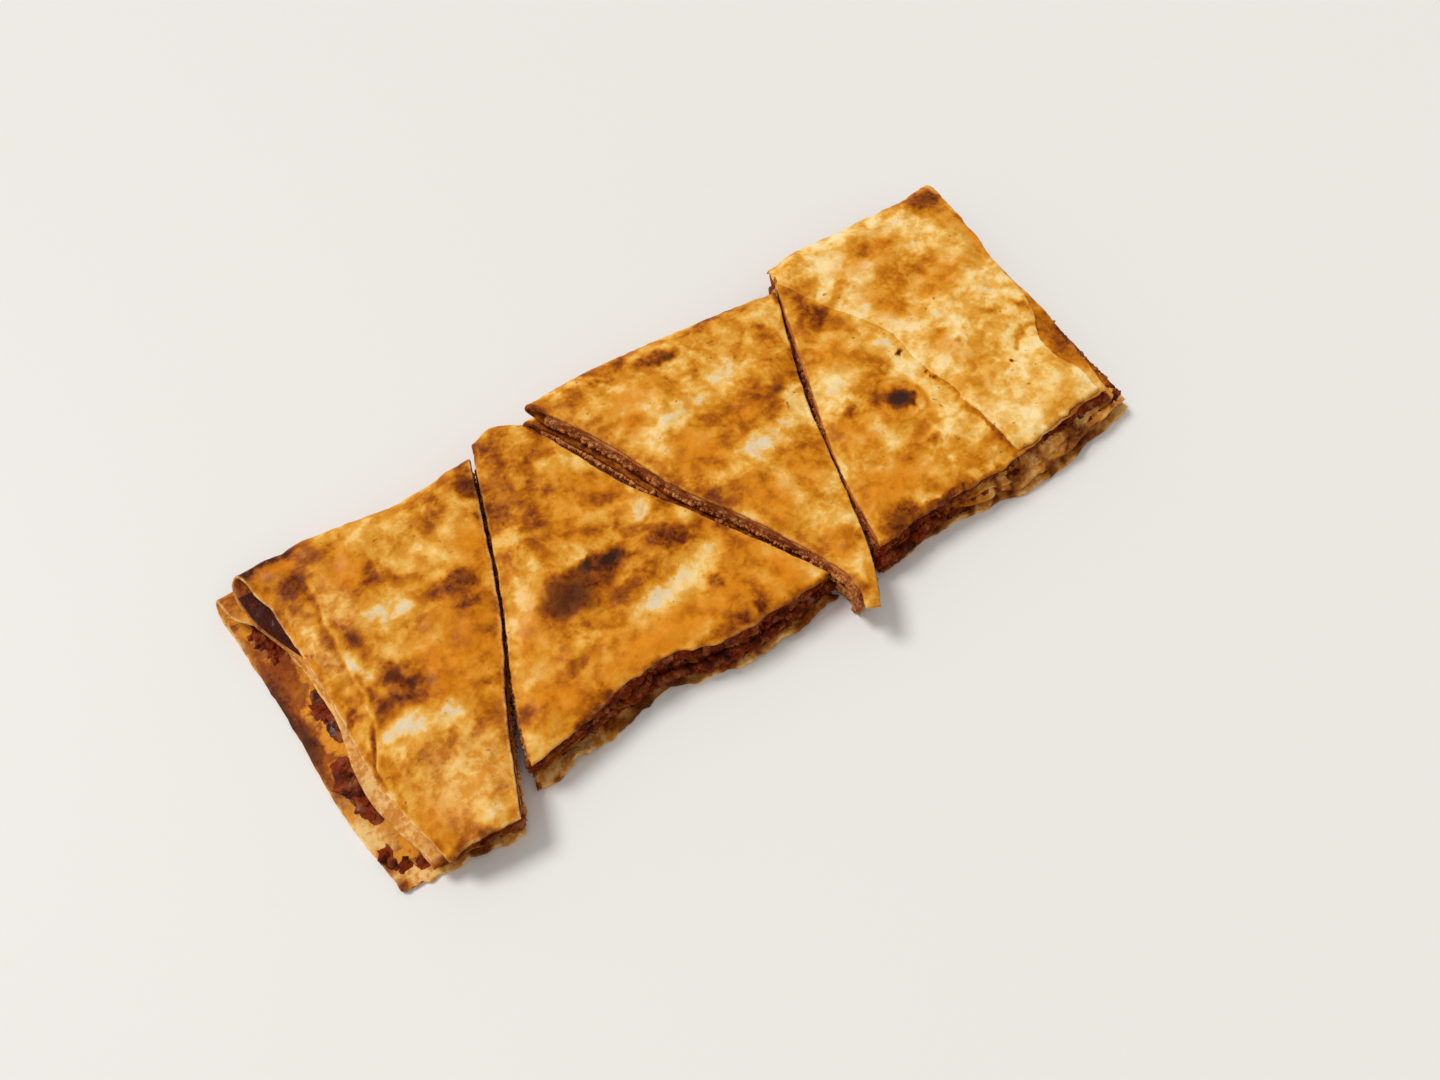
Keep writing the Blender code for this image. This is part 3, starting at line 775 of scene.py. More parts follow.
def mince_rows(number, bread, across, run):
    """Where the columns of mince stand: their share of the depth, and their place."""
    shape = SLICES[number]
    across, run = np.broadcast_arrays(across, run)
    upper_ply = BREADS[bread][1]
    upper = front_of(shape, upper_ply, across)
    fold = fold_start(shape, across)
    start = -along(shape.mince[bread], across) / depth_of(shape, across)
    end = fold + INTO_FOLD / depth_of(shape, across)
    follow = smooth(run, 0, MINCE_FOLLOWS[0]) * (1 - smooth(run, MINCE_FOLLOWS[1], 1))
    depth = mix(mix(start, end, run), mix(upper, fold, run), follow)
    left, right = reach_of(shape, upper_ply, depth)
    if number == 4:
        right = right - END_GAP
    if number == 1 and bread == "lower":
        left = OPEN_END
    elif number == 1:
        in_loop = reach_of(shape, "middle_high", depth)[0] - LOOP_GAP
        left = mix(left - OPEN_GAP, in_loop, smooth(depth, *LOOP))
    return depth, plan(shape, across, depth, left, right)


def ring_of(grid):
    """The border of a grid, once round, against the clock."""
    return np.concatenate((grid[0, :-1], grid[:-1, -1], grid[-1, :0:-1], grid[:0:-1, 0]))


# The open floor beyond the first slice's top ply, where low patches of mince stick
OPEN_RIM = 0.0010       # it starts this far beyond the ply
STUCK_HEIGHT = 0.0008
STUCK_LUMPS = ((0.0006, 0.0040, 6), (0.0004, 0.0017, 7))    # heights, sizes and seeds
STUCK_RIM = (0.0010, 0.0025)    # nearer to the ply than this, mince sticks everywhere
STUCK_FALL = (0.0005, 0.0035)   # over this it falls to the height of the patches
CRUMBLY_FROM = 0.0006   # patches carry crumbs where they are higher than this
BARE = 0.00005          # what is left of the mince between them

# The open loop: mince lies low in it, crumbs stop a little before it, and it is painted very dark as the
# shade inside the loop
LOOP_RIM = 0.0008
LOOP_HEIGHT = 0.0009
LOOP_LUMPS = ((0.0006, 0.0024),)    # height and size
LOOP_CLEAR = 0.0015


def on_open_floor(place, over, bottom, top, dark):
    """The first slice's lower mince beyond the top ply is left in low, dark patches. Gives
    its top, how dark it is, and the share of crumbs on the patches."""
    stuck = np.maximum(1 - smooth(over, *STUCK_RIM), smooth(spotted(place, STUCK, 4), 0.1, 0.6))
    lumps = sum(height * rough(place, size, seed) for height, size, seed in STUCK_LUMPS)
    top = mix(top, bottom + STUCK_HEIGHT + lumps, smooth(over, *STUCK_FALL))
    top = mix(bottom + BARE, top, stuck)
    on_patch = (top - bottom > CRUMBLY_FROM) & (over > OPEN_RIM)
    return top, np.maximum(dark, 0.95 * smooth(over, 0, 2 * OPEN_RIM)), 0.35 * on_patch


WALL_LUMPS = (0.0022, 0.0060)
WALL_UNEVEN = (0.0004, 0.0010)      # how far they stand out, in pale and in dark mince


def wall_rings(low, high, cut, dark, number, bread):
    """The rings of points between the borders of a layer's bottom and top, each with its
    share of crumbs."""
    uneven = mix(*WALL_UNEVEN, np.clip(dark, 0, 1))
    outward = np.roll(low, 1, axis=0)[:, :2] - np.roll(low, -1, axis=0)[:, :2]
    outward = np.stack((-outward[:, 1], outward[:, 0]), axis=-1)
    outward /= length_of(outward)[:, None] + 1e-9
    for step, (level, proud, raised, share) in enumerate(WALL[bread]):
        ring = mix(low, high, level)
        ring[:, 2] += raised * cut
        lumps = rough(ring + step, WALL_LUMPS[0], 3 * number + step)
        lumps += rough(ring, WALL_LUMPS[1], 5 + len(bread) + step // 3)
        ring[:, :2] += outward * ((proud + uneven * lumps) * (cut > 0))[:, None]
        yield ring, cut * share


def mince_core(number, bread):
    """The layer of mince, with rough walls that stand a little proud of the bread. The tone
    cut marks where crumbs lie, and dark the mince that the grill reached, raised further as
    painted shade along the fronts and in the open loop."""
    shape = SLICES[number]
    lower, upper = BREADS[bread]
    widest = max(width_of(shape, 0), width_of(shape, 1))
    across = np.linspace(0, 1, round(widest / MINCE_CELL))[None, :]
    run = np.linspace(0, 1, round(float(depth_of(shape, 0.5)) / MINCE_CELL))[:, None]
    depth, place = mince_rows(number, bread, across, run)
    across = np.broadcast_to(across, depth.shape)
    bottom = height_of(number, lower, across, depth, place) + PLY / 2 - PRESSED_IN
    top = height_of(number, upper, across, depth, place) - PLY / 2 + PRESSED_IN
    over = plan(shape, across, depth)[..., 0] - place[..., 0]
    top = mix(top, mix(bottom, top, THIN_SHARE), smooth(over, 0, THIN_END[bread]))
    cut = np.ones(depth.shape)
    cut[-2:, 1:-1] = 0
    on_top = np.zeros(depth.shape)
    # Darker towards the front: seared colour with painted shade where the plies overhang it
    dark = 1 - smooth(depth * depth_of(shape, across), SEARED_AND_SHADED_FRONT, SEARED_AND_SHADED_DEPTH[number])
    if number == 4:
        dark = np.maximum(dark, 0.45 * smooth(place[..., 0], *SEARED_END))
    if (number, bread) == (1, "lower"):
        top, dark, on_top = on_open_floor(place, over, bottom, top, dark)
        cut = cut * (over <= OPEN_RIM)
    if (number, bread) == (1, "upper"):
        in_loop = smooth(over, -LOOP_RIM, LOOP_RIM)
        top = mix(top, bottom + LOOP_HEIGHT + lumpy(place, LOOP_LUMPS, 8), in_loop)
        # Painted shade: the mince inside the open loop is coloured very dark for the loop's shadow
        dark = np.maximum(dark, 1.7 * in_loop)
        cut = cut * (over <= -LOOP_CLEAR)
    rows, columns = depth.shape
    index = np.arange(rows * columns).reshape(rows, columns)
    low, high = with_height(place, bottom), with_height(place, top)
    points = [low.reshape(-1, 3), high.reshape(-1, 3)]
    cuts = [np.zeros(depth.size), on_top.ravel()]
    darks = [dark.ravel(), dark.ravel()]
    rings = [ring_of(index)]
    borders = [ring_of(values) for values in (low, high, cut, dark)]
    count = 2 * rows * columns
    for ring, share in wall_rings(*borders, number, bread):
        points.append(ring)
        cuts.append(share)
        darks.append(borders[-1])
        rings.append(count + np.arange(len(ring)))
        count += len(ring)
    rings.append(rows * columns + ring_of(index))
    walls = np.stack([np.append(ring, ring[0]) for ring in rings])
    faces = np.concatenate((quads(index)[:, ::-1], quads(rows * columns + index), quads(walls)))
    return mesh_of("core", np.concatenate(points), faces,
                   {"cut": np.concatenate(cuts), "dark": np.concatenate(darks)})


MINCE_BROWN = paint(190, 104, 50)
MINCE_LIGHT = paint(220, 148, 84)
MINCE_RED = paint(126, 54, 22)
GRISTLE = paint(222, 170, 112)
# Seared mince, and the painted shade of the fronts and of the open loop
SEARED_AND_SHADE_BROWN = paint(122, 38, 2)
SEARED_AND_SHADE_BLACK = paint(54, 16, 6)


def mince_finish():
    """Cooked spiced mince: red-brown and dark, with paler grains and shining fat. The dark tone is seared
    colour and also painted shade along the fronts and in the open loop.
    """
    finish, surface, start = new_finish("spiced mince")
    place = start.node("ShaderNodeTexCoord", {}, {}, "Object")

    def grain(size, detail=3.0):
        return start.node("ShaderNodeTexNoise", {}, {"Vector": place, "Scale": 1 / size, "Detail": detail})

    tone = start.tone("tone")
    dark = start.tone("dark")
    coarse = grain(0.0030)
    fine = grain(0.0007, 2.0)
    colour = (coarse + tone * 0.25).step(0.42, 0.72).between(MINCE_BROWN, MINCE_LIGHT)
    colour = colour.tint(MINCE_RED, grain(0.0050).step(0.52, 0.66) * 0.45)
    colour = colour.tint(GRISTLE, (tone + (fine - 0.5) * 0.8).step(0.92, 1.02) * 0.7)
    # The dark tone: seared colour, and painted shade at the fronts and in the loop, blackest in the loop
    colour = colour.tint(SEARED_AND_SHADE_BROWN, dark * (0.95 - (coarse - 0.5) * 1.2))
    colour = colour.tint(SEARED_AND_SHADE_BLACK, (dark + (grain(0.0038) - 0.5) * 3.0).step(0.85, 1.5) * 0.9)
    start.feed(surface, {"Base Color": colour, "Normal": (fine + coarse * 0.5).bump(0.7, 0.0004),
                         "Roughness": 0.46 + (fine - 0.5) * 0.5,
                         "Coat Weight": coarse.step(0.50, 0.65) * 0.12, "Coat Roughness": 0.16,
                         "Specular IOR Level": 0.06})
    return finish


meat = mince_finish()

CRUMB_SIZES = {"Crumbs for each square metre": 1.8e6, "Smallest": 0.0009, "Largest": 0.0022,
               "Pressed in": 0.0006, "Coarser where dark": 0.5}
FULL_TURN = 6.283       # radians
LOWEST_CRUMB = 0.0001   # no crumb reaches through the floor


def crumb_tree(finish):
    """Geometry nodes that lay crumbs of mince on the marked faces of a core."""
    tree = bpy.data.node_groups.new("crumbs of mince", "GeometryNodeTree")
    for way in ("INPUT", "OUTPUT"):
        tree.interface.new_socket("Geometry", in_out=way, socket_type="NodeSocketGeometry")
    sockets = {}
    for name in (*CRUMB_SIZES, "Seed"):
        kind = "NodeSocketInt" if name == "Seed" else "NodeSocketFloat"
        sockets[name] = tree.interface.new_socket(name, in_out="INPUT", socket_type=kind).identifier
    core = Wire(tree).node("NodeGroupInput", {}, {})
    density, smallest, largest, sunk, coarser, seed = (core.output(name) for name in sockets)
    cut, dark = (core.node("GeometryNodeInputNamedAttribute", {"data_type": "FLOAT"}, {"Name": name})
                 for name in ("cut", "dark"))
    spread = core.node("GeometryNodeDistributePointsOnFaces", {"distribute_method": "RANDOM"},
                       {"Mesh": core, "Density": cut * density, "Seed": seed})
    pressed = core.node("GeometryNodeSetPosition", {},
                        {"Geometry": spread, "Offset": spread.output("Normal").scaled(sunk * -1.0)})
    # A crumb is a coarse ball with lumps
    ball = core.node("GeometryNodeMeshUVSphere", {}, {"Segments": 7, "Rings": 4, "Radius": 0.5})
    place = core.node("GeometryNodeInputPosition", {}, {})
    lumps = core.node("ShaderNodeTexNoise", {}, {"Vector": place, "Scale": 2.3, "Detail": 1.0})
    crumb = core.node("GeometryNodeSetPosition", {},
                      {"Geometry": ball, "Offset": place.scaled(lumps * 2.4 - 1.2)})

    def chance(kind, number, limits, output=0):
        return core.node("FunctionNodeRandomValue", {"data_type": kind}, {**limits, "Seed": number}, output)

    turn = chance("FLOAT_VECTOR", 1, {"Max": (FULL_TURN,) * 3})
    size = chance("FLOAT", 2, {"Min_001": smallest, "Max_001": largest}, 1)
    form = chance("FLOAT_VECTOR", 3, {"Min": (0.65,) * 3, "Max": (1.15,) * 3})
    laid = core.node("GeometryNodeInstanceOnPoints", {},
                     {"Points": pressed, "Instance": crumb, "Rotation": turn,
                      "Scale": form.scaled(size * (dark * coarser + 1.0))})
    toned = core.node("GeometryNodeStoreNamedAttribute", {"data_type": "FLOAT", "domain": "INSTANCE"},
                      {"Geometry": laid, "Name": "tone", "Value": chance("FLOAT", 4, {}, 1)})
    solid = core.node("GeometryNodeRealizeInstances", {}, {"Geometry": toned})
    joined = core.node("GeometryNodeJoinGeometry", {}, {"Geometry": solid})
    core.feed(joined.socket.node, {"Geometry": core})
    rounded = core.node("GeometryNodeSetShadeSmooth", {}, {"Geometry": joined})
    made = core.node("GeometryNodeSetMaterial", {}, {"Geometry": rounded, "Material": finish})
    tree.links.new(made.socket, tree.nodes.new("NodeGroupOutput").inputs[0])
    return tree, sockets


crumbs, crumb_sockets = crumb_tree(meat)


def lay_mince(number, bread):
    """A layer of mince with its crumbs, as one plain mesh."""
    base = bpy.data.objects.new("core", mince_core(number, bread))
    bpy.context.scene.collection.objects.link(base)
    laying = base.modifiers.new("crumbs", "NODES")
    laying.node_group = crumbs
    for name, value in CRUMB_SIZES.items():
        laying[crumb_sockets[name]] = value
    laying[crumb_sockets["Seed"]] = 10 * number + len(bread)
    graph = bpy.context.evaluated_depsgraph_get()
    mesh = bpy.data.meshes.new_from_object(base.evaluated_get(graph))
    bpy.data.objects.remove(base)
    points = np.empty(3 * len(mesh.vertices), np.float32)
    mesh.vertices.foreach_get("co", points)
    points[2::3] = np.maximum(points[2::3], LOWEST_CRUMB)
    mesh.vertices.foreach_set("co", points)
    name = f"slice_{number}_{bread}_mince"
    mesh.name = name
    mesh.materials.clear()
    put_in_place(name + "_cooked", mesh, meat, name)


for number in SLICES:
    lay_mince(number, "lower")

# The upper breads. A second folded sheet lies on each lower one. Its top ply is the crust
# that shows: golden, puffed and mottled, pale in its hollows and burnt on a few bubbles.
CRUST_SPOTS = {
    1: {"pale": ((-107, 22, 2.0, 11, 8, 0.9), (-101.5, 10, 2.2, 13, 8, 1), (-87, 19, 10, 7, 0, 1.15),
                 (-70, 21, 7, 5, 0, 0.5), (-100, -13, 10, 5.5, -10, 1.25), (-88.5, -16, 7, 4, 0, 1.2),
                 (-93, -33, 10, 8, 0, 0.65), (-91, -43.5, 6, 3.5, 0, 0.9),
                 (-112.5, -23, 2.0, 16, 5, 0.8), (-75, 46, 20, 1.5, -3, 0.6),
                 (-106, 0, 2.5, 18, 0, 0.4), (-97, 27, 4, 8, 10, 0.7)),
        "orange": ((-103, 47.5, 9, 2.6, -8, 0.9), (-91, 35, 7, 8, 0, 0.8), (-84, -5, 8, 13, 0, 1),
                   (-73, 2, 9, 13, 0, 1), (-111.5, 18, 1.3, 26, 0, 1), (-60, 22, 6, 8, 0, 0.8),
                   (-104, -36, 7, 7, 0, 0.7), (-77, -22, 8, 8, 0, 0.6)),
        "brown": ((-104, 40.5, 5, 2.6, -20, 0.8), (-92, 35, 5, 4, 0, 0.3), (-68.5, 15, 5, 4.5, 0, 0.95),
                  (-95, 5, 1.5, 1.5, 0, 0.8), (-95, -3, 1.5, 1.5, 0, 0.8),
                  (-91.5, -21.5, 2.5, 1.8, 0, 0.7), (-75, 2, 9, 11, 0, 0.5), (-85, -7, 7, 9, 0, 0.45),
                  (-96, -46, 8, 2, 0, 0.4), (-106, -29, 4, 6, 0, 0.3), (-104.5, -39, 5, 4, 0, 0.35),
                  (-51.5, 38.5, 4.5, 4.5, 0, 0.9)),
        "char": ((-104, 40.5, 4, 1.8, -20, 0.4), (-51.5, 38.5, 4, 4, 0, 0.6),
                 (-67.5, 14.5, 3, 2.6, 0, 0.5)),
        "dry": ((-94, -33, 13, 12, 0, 0.45), (-97, 27, 4, 9, 10, 0.5), (-107, 20, 2.5, 14, 8, 0.5))},
    2: {"pale": ((-19, 5, 6, 3.6, 12, 1), (-27, -19.5, 16, 4.8, 12, 1.05), (-10, -15, 4, 5, 0, 0.9),
                 (-74, -33, 8, 4, 0, 0.8), (-32, 32, 3, 3, 0, 0.6), (-4, -31, 3.0, 6, 20, 0.6),
                 (-62, -18, 4, 9, -20, 0.5)),
        "orange": ((-33, -30, 24, 6, 0, 1), (-60, -12, 6, 14, -20, 0.8), (-12, -28, 9, 6, 0, 0.9),
                   (-36, 14, 7, 9, 0, 0.6), (-66, -28, 9, 8, 30, 0.9), (0, -33, 8, 8, 0, 1),
                   (-4, -18, 5, 9, 30, 0.9), (-42, -22, 12, 4, 10, 0.7), (-24, 18, 6, 10, 20, 0.6)),
        "brown": ((-38, 47, 6, 4, 0, 0.5), (-34, 25, 3, 3, 0, 0.7), (-44, 18, 4.5, 4, 0, 0.9),
                  (-47, -5.5, 11, 7, 12, 0.8), (-33, -3, 8, 5, 0, 0.8), (-18, -6.5, 6, 6, 0, 0.85),
                  (-15, -25, 3, 3, 0, 0.95), (-39.3, -37, 7, 4.5, -10, 1), (-26, -37, 8, 2.2, -5, 0.6),
                  (-25, -9, 5, 4, 0, 0.3)),
        "char": ((-48.5, -6, 9.5, 7, 15, 0.66), (-34, -3, 6, 4, 0, 0.7), (-33, -3, 4, 2.4, 5, 1.5),
                 (-40, -1.5, 4, 1.8, 30, 0.9), (-39, -38, 5, 3, -10, 0.5), (-18, -5, 4, 3, 0, 0.35))},
    3: {"pale": ((8, 24, 14, 3.8, 3, 1), (27, 28, 11, 5, 8, 1.1), (21, 1.5, 12, 6.5, 4, 1.15),
                 (18, -27, 5, 3, 0, 0.7), (45, 38, 9, 4, 0, 0.35), (30, 4, 5, 4, 0, 0.8)),
        "orange": ((5, 10, 9, 9, 0, 1), (24, 14, 7, 4, 0, 1), (12, -14, 7, 9, 0, 0.9),
                   (0, 36, 9, 5, 0, 0.8), (-4, 28, 6, 5, 0, 0.8), (26, -12, 6, 8, 0, 0.6),
                   (18, -36, 4, 7, 0, 0.7)),
        "brown": ((7, 10, 6, 6, 0, 0.3), (-3, 28, 4, 3, 0, 0.5), (-2, 46, 4, 1.2, -20, 1),
                  (13, 43.5, 7, 3.0, -8, 1), (30, 14, 5, 3, 0, 0.5), (35, 29, 2, 1, 0, 0.6),
                  (-14, 46, 6, 3, 0, 0.5), (14, -50, 3, 4, 0, 0.5)),
        "char": ((16, 42, 3.6, 2.2, -10, 0.6), (36, 14, 3.6, 3, 0, 0.55), (46, 43, 9, 4, 0, 0.24),
                 (40, 22, 3, 9, -25, 0.22))},
    4: {"pale": ((48, 4.5, 9, 2, 8, 1), (76, 2, 4, 8, 0, 0.7), (72, 24, 5, 8, 0, 0.6),
                 (70, 9, 5, 3.5, 0, 1), (67, 38, 4, 5, 0, 0.6), (51, -40, 3, 1.2, 0, 0.8),
                 (72, -12, 3, 10, 0, 0.7), (50, -20, 6, 2, 0, 0.5)),
        "orange": ((42, -29, 14, 7, 0, 1), (62, 49, 3, 2.5, 0, 0.8), (61, -9, 8, 8, 0, 0.9),
                   (45, -12, 6, 8, 0, 0.6), (113, -22, 4, 14, 0, 1), (57, 15, 6, 7, 0, 0.6),
                   (70, 27, 6, 6, 0, 0.5)),
        "brown": ((47.5, -3.5, 3.6, 3.0, 0, 0.9), (61, -25, 3, 2.4, 0, 0.8), (61, -9, 8, 8, 0, 0.35),
                  (62, -9.5, 4.5, 3.6, -30, 1), (56, 12.5, 4, 3, 0, 0.5), (76, -33, 1.6, 12, 0, 0.9),
                  (37, -38.5, 8, 5, 10, 0.95), (50, -41, 14, 2.4, 0, 1), (66, -42.5, 10, 1.2, -3, 0.7),
                  (115.6, -24, 2.2, 14, 3, 0.9), (113, -21, 4.5, 14, 0, 0.65)),
        "char": ((62, -9, 4.0, 3.1, -30, 1.3), (72, 4, 1.5, 1.3, 0, 1), (75, -6, 1, 0.8, 0, 0.9),
                 (75, -9, 1, 0.8, 0, 0.9), (69, 33, 1, 0.9, 0, 0.9), (36, -39.5, 6, 3, 8, 0.5),
                 (50, -41, 6, 1.4, 0, 0.5), (66, 22, 6, 7, 0, 0.25), (116.5, -22, 1.5, 14, 3, 0.3))},
}

# The outer wrap's end on the first slice, and the line where its crust starts to round down
WRAP_END = ((-101, 39), (-103, 23), (-105, 1), (-106, -8), (-111, -17), (-113, -35), (-109, -48))
# How strongly the groove along the wrap's end is painted brown as shade, from front to back
WRAP_SHADE = ((-0.030, -0.022, -0.018, -0.009, -0.006, 0.002, 0.020, 0.036),
              (0.1, 0.2, 1, 1, 0.1, 0.2, 0.6, 0.5))
SHOULDER = ((-99, 46), (-88, 44), (-65, 41), (-47, 42))
SHOULDER_WIDTH = 0.0025
SHOULDER_DROP = 0.0003
WRAP_RIM = 0.0009
WRAP_LUMPS = 0.0060
WRAP_DROP = 0.0004
RIDGE = (0.8, 0.0013)       # millimetres from the wrap's end, and width
GROOVE = (-0.5, 0.0016)
RIDGE_HEIGHT = 0.0002       # and depth of the groove


def end_of_wrap(middle, tones):
    """Marks the outer wrap's end, and gives the bumps along it: crust that is lower to its
    left, a ridge, a groove, and the shoulder. The ridge gets a painted highlight in pale,
    and the groove painted shade in brown."""
    ends = np.array(WRAP_END[::-1]) / 1000
    line = np.interp(middle[..., 1], ends[:, 1], ends[:, 0]) + WRAP_RIM * rough(middle, WRAP_LUMPS, 9)
    lower = 1 - smooth(middle[..., 0], line - WRAP_RIM, line + WRAP_RIM)
    ridge, groove = (near_line(middle, np.array(WRAP_END) + (shift, 0), width, 2)
                     for shift, width in (RIDGE, GROOVE))
    # Painted highlight along the ridge, and painted shade in the groove
    add_tone(tones, "pale", 0.7 * ridge, (0,))
    add_tone(tones, "brown", groove * np.interp(middle[..., 1], *WRAP_SHADE), (0,))
    shoulder = near_line(middle, SHOULDER, SHOULDER_WIDTH, 5)
    return RIDGE_HEIGHT * (ridge - groove) - WRAP_DROP * lower - SHOULDER_DROP * shoulder


# What shows of the inner faces: dry dough at the first slice's open end, brown towards its
# back, and the third slice's ledge
INNER_UPPER = {1: {"dry": ((-113, -20, 6, 34, 2, 1),), "brown": ((-115, 42, 4, 17, 0, 1),)},
               2: {}, 3: LEDGE, 4: {}}
UPPER_SPACING = (0.00070, 0.0022, 0.00070)
UPPER_FRAY = (0.0003, 0.0009)
OPEN_CURL = 0.0013          # how far the open edge of the first slice's top ply curls down
OPEN_CURL_WIDTH = 0.0035
BLISTER_FOOT = ((0.0060, 0.0080), (0.0082, 0.0102))     # from its middle, where its foot fades
BLISTER_WANDER = ((0.0030, 0.0060),)
CRUST_BUMPS = ((0.00050, 0.0080), (0.00030, 0.0034), (0.00012, 0.0015))     # heights and sizes
BROWN_RISE = 0.00025
PALE_DENT = 0.00015
UPPER_DOUGHS = {1: brown_dough, 2: dough, 3: dough, 4: golden_dough}

for number in SLICES:
    middle, low_rows = bread_middle(number, "upper", UPPER_SPACING)
    middle = fray(middle, 8 + number, *UPPER_FRAY)
    if number == 1:
        to_left = length_of(middle - middle[:, :1])[low_rows + FOLD_ROWS:]
        middle[low_rows + FOLD_ROWS:, :, 2] -= OPEN_CURL * (1 - smooth(to_left, 0, OPEN_CURL_WIDTH))
    if number == 4:
        middle = drooped(middle, slice(0, low_rows))
    tones = bread_tones(middle, 30 + number, CRUST_SPOTS[number], INNER_UPPER[number],
                        slice(0, low_rows if number == 1 else low_rows + FOLD_ROWS), number == 1)
    if number == 4:
        dry_front(middle, tones, slice(0, low_rows), DRY_SEED, smooth(middle[..., 0], *DRY_FROM))
        # The foot of the blister is painted browner than its top, as painted shade on its sloping side
        distance = length_of(middle[..., :2] - np.array(BLISTER)) + lumpy(middle, BLISTER_WANDER, 12)
        foot = smooth(distance, *BLISTER_FOOT[0]) * (1 - smooth(distance, *BLISTER_FOOT[1]))
        add_tone(tones, "brown", 0.5 * foot, (0,))
    bumps = lumpy(middle, CRUST_BUMPS, number)
    bumps += BROWN_RISE * tones["brown"][0] - PALE_DENT * tones["pale"][0]
    if number == 1:
        bumps += end_of_wrap(middle, tones)
    name = f"slice_{number}_upper_bread"
    put_in_place(name + "_baked", sheet_mesh(name, middle, PLY, bumps, tones), UPPER_DOUGHS[number],
                 name)

# The mince in the upper breads. It is the same cooked minced meat, pressed between the plies
# of the second sheet, and it shows along the cuts and in the open loop at the left end.
for number in SLICES:
    lay_mince(number, "upper")

# The flap. The torn end of the outer wrap lies on the last slice and turns down over its
# fold. It is thinner and paler than the crust under it.
FLAP_PLY = 0.0010
FLAP_GAP = 0.0001
# Its long edge over the last slice, and its torn end, as shares of the slice's width
FLAP_EDGE = (0.71, 0.64, 0.53, 0.40, 0.0)
FLAP_END = (0.977, 0.965, 0.935, 0.925, 0.965, 0.985, 0.990, 1.0, 1.0, 1.0)
FLAP_TEAR = ((101, -15), (105, -11.5), (109, -11), (113, -13))
TEAR_WIDTH = 0.0020
TEAR_DEPTH = 0.0003
FLAP_FRONT = 0.01       # where it starts, as a share of the slice's depth
FLAP_SLACK = 0.0004     # how much further off it stands round the fold
FLAP_FRAY = (0.0005, 0.0010)
FLAP_FREE = (-0.026, -0.014)    # in front of this the flap's long edge comes free of the crust
FLAP_PRESSED = (0.0004, 0.0015)     # how far that edge is pressed down where free, and behind
FLAP_EDGE_STRIP = 0.0060            # over this width
FLAP_TURNS = np.linspace(85, 10, 12)[:, None]   # its rows round the fold, in degrees
FLAP_BUMPS = ((0.00045, 0.0080), (0.00030, 0.0034), (0.00012, 0.0015))
FLAP_BROWN_RISE = 0.0002
FLAP_SPOTS = {
    "pale": ((101, 33, 5, 3, 0, 1), (75, 22, 2, 2, 0, 0.8), (92, 8, 7, 4, 0, 1),
             (109, 6.5, 6, 3.5, 0, 1), (81, -32, 4, 8, 0, 0.8), (95, -30, 12, 8, 0, 0.5)),
    "orange": ((88, 38, 12, 6, 0, 0.7), (100, 18, 14, 6, 0, 0.5), (120, 20, 3, 26, 3, 1),
               (80, 20, 6, 10, 20, 0.8), (85, -3, 4, 9, 15, 0.6)),
    "brown": ((117, 44, 9, 6, 0, 1), (121.5, 20, 1.6, 24, 3, 0.8), (88, 39, 6, 3.5, 0, 0.7),
              (83, 17, 4, 7, 0, 0.6), (88.5, -3.5, 2.2, 2, 0, 0.6), (103, -1, 2, 2, 0, 0.6),
              (106, -12, 4, 2.4, 10, 0.7), (112, -5, 2, 5, 20, 0.7)),
    "char": ((96, -18, 0.9, 0.9, 0, 0.9), (117.5, 44, 5, 3.5, 0, 0.5))}

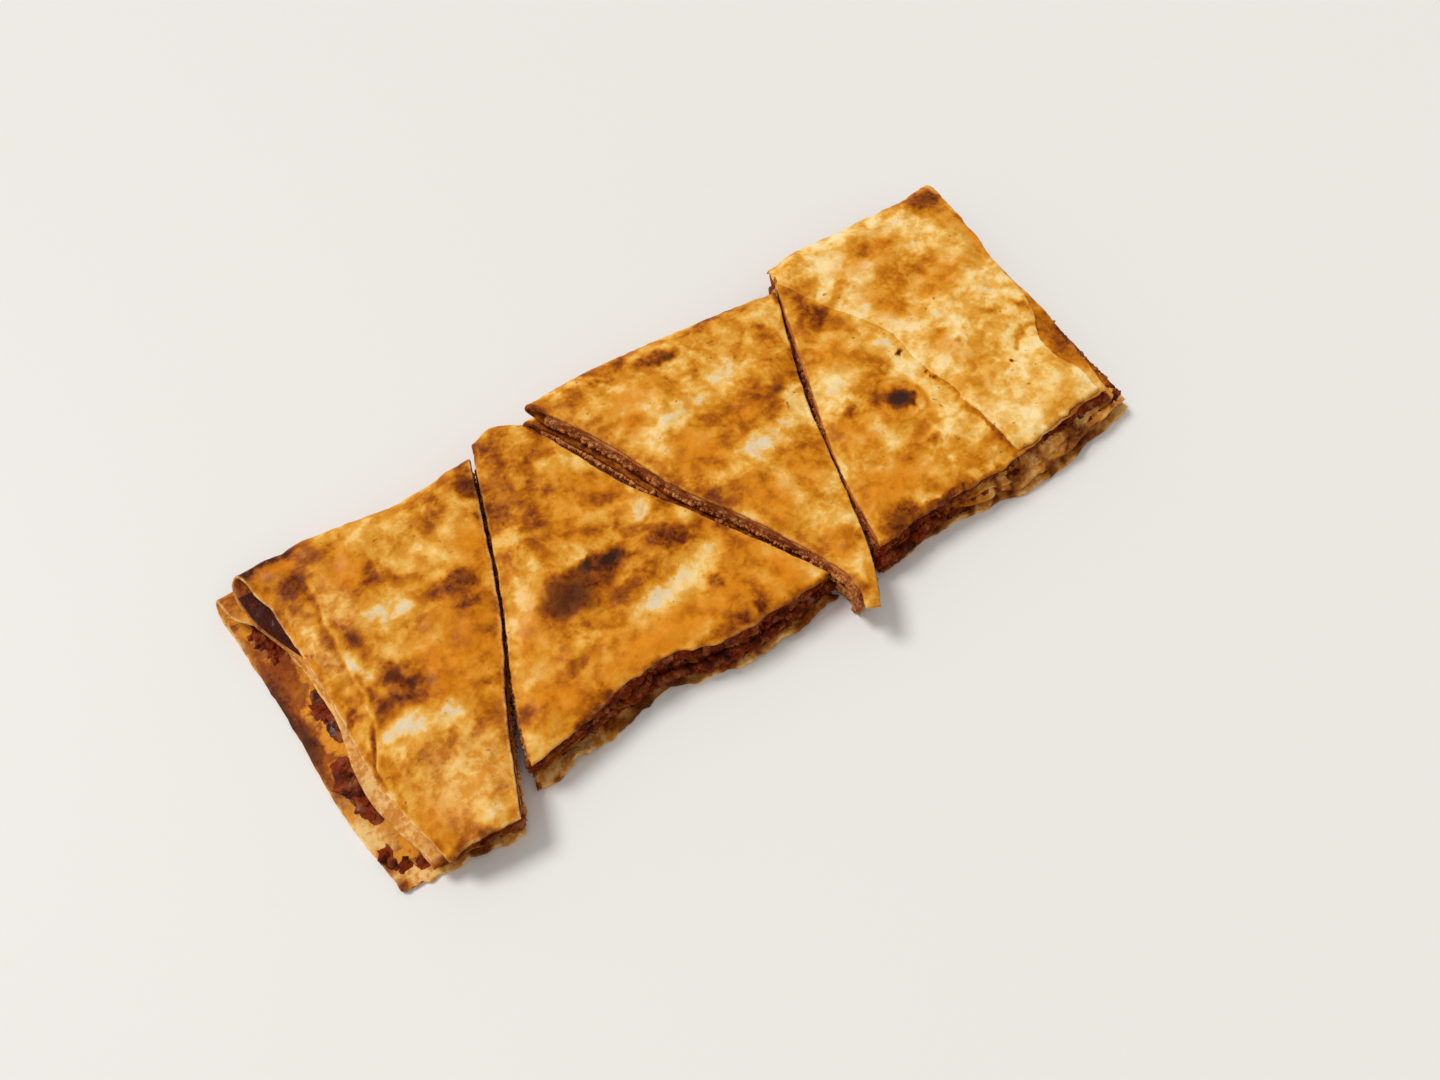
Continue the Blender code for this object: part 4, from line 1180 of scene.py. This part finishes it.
pale_dough = dough_finish("pale grilled dough", 0.82)
flat_rows = np.linspace(0, 1, 130)[:, None]
across = mix(along(FLAP_EDGE, flat_rows), along(FLAP_END, flat_rows), np.linspace(0, 1, 96)[None, :])
clear = PLY / 2 + FLAP_PLY / 2 + FLAP_GAP
lying = on_ply(4, "top", across, mix(FLAP_FRONT, 1, flat_rows))
lying[..., 2] += clear
turned = on_fold(4, "upper", np.repeat(across[-1:], len(FLAP_TURNS), axis=0), FLAP_TURNS,
                 clear + FLAP_SLACK)
flap = fray(np.concatenate((lying, turned))[::-1], 50, *FLAP_FRAY)
pressed = mix(*FLAP_PRESSED, smooth(flap[:, :1, 1], *FLAP_FREE))
flap[..., 2] -= pressed * (1 - smooth(length_of(flap - flap[:, :1]), 0, FLAP_EDGE_STRIP))
tones = bread_tones(flap, 36, FLAP_SPOTS, {})
# The torn edge across the flap: pressed in a little, and painted brown as its shadow
tear = near_line(flap, FLAP_TEAR, TEAR_WIDTH, 6)
add_tone(tones, "brown", 0.6 * tear, (0,))
bumps = lumpy(flap, FLAP_BUMPS, 4) + FLAP_BROWN_RISE * tones["brown"][0] - TEAR_DEPTH * tear
put_in_place("slice_4_flap_baked", sheet_mesh("slice_4_flap", flap, FLAP_PLY, bumps, tones),
             pale_dough, "slice_4_flap")

# The floor, the light and the camera. A plain pale floor, a soft window light from the back
# left, and the light of a pale room all round.
floor_mesh = bpy.data.meshes.new("floor")
floor_mesh.from_pydata([(-2, -2, 0), (2, -2, 0), (2, 2, 0), (-2, 2, 0)], [], [(0, 1, 2, 3)])
floor_finish, floor_surface, start = new_finish("pale floor")
start.feed(floor_surface, {"Base Color": paint(236, 234, 230), "Roughness": 0.6})
floor_mesh.materials.append(floor_finish)
floor = bpy.data.objects.new("floor", floor_mesh)
bpy.context.scene.collection.objects.link(floor)


def aim(thing, place, target):
    thing.location = place
    thing.rotation_euler = (Vector(target) - Vector(place)).to_track_quat("-Z", "Y").to_euler()
    bpy.context.scene.collection.objects.link(thing)


sun = bpy.data.lights.new("window light", "SUN")
sun.energy = 1.85
sun.angle = math.radians(20)
aim(bpy.data.objects.new("window light", sun), (-0.35, 0.65, 1.00), (0, 0, 0))

world = bpy.data.worlds.new("studio")
world.use_nodes = True
room = world.node_tree.nodes["Background"]
room.inputs["Color"].default_value = (1.0, 0.98, 0.95, 1.0)
room.inputs["Strength"].default_value = 0.52
bpy.context.scene.world = world
bpy.context.scene.view_settings.view_transform = "Standard"

CAMERA_PLACE = (-0.109258, -0.154504, 0.311769)
CAMERA_TARGET = (-0.00219, -0.00981, 0.0)
camera = bpy.data.cameras.new("camera")
camera.lens = 32.5
camera.sensor_width = 36.0
camera_object = bpy.data.objects.new("camera", camera)
aim(camera_object, CAMERA_PLACE, CAMERA_TARGET)
bpy.context.scene.camera = camera_object
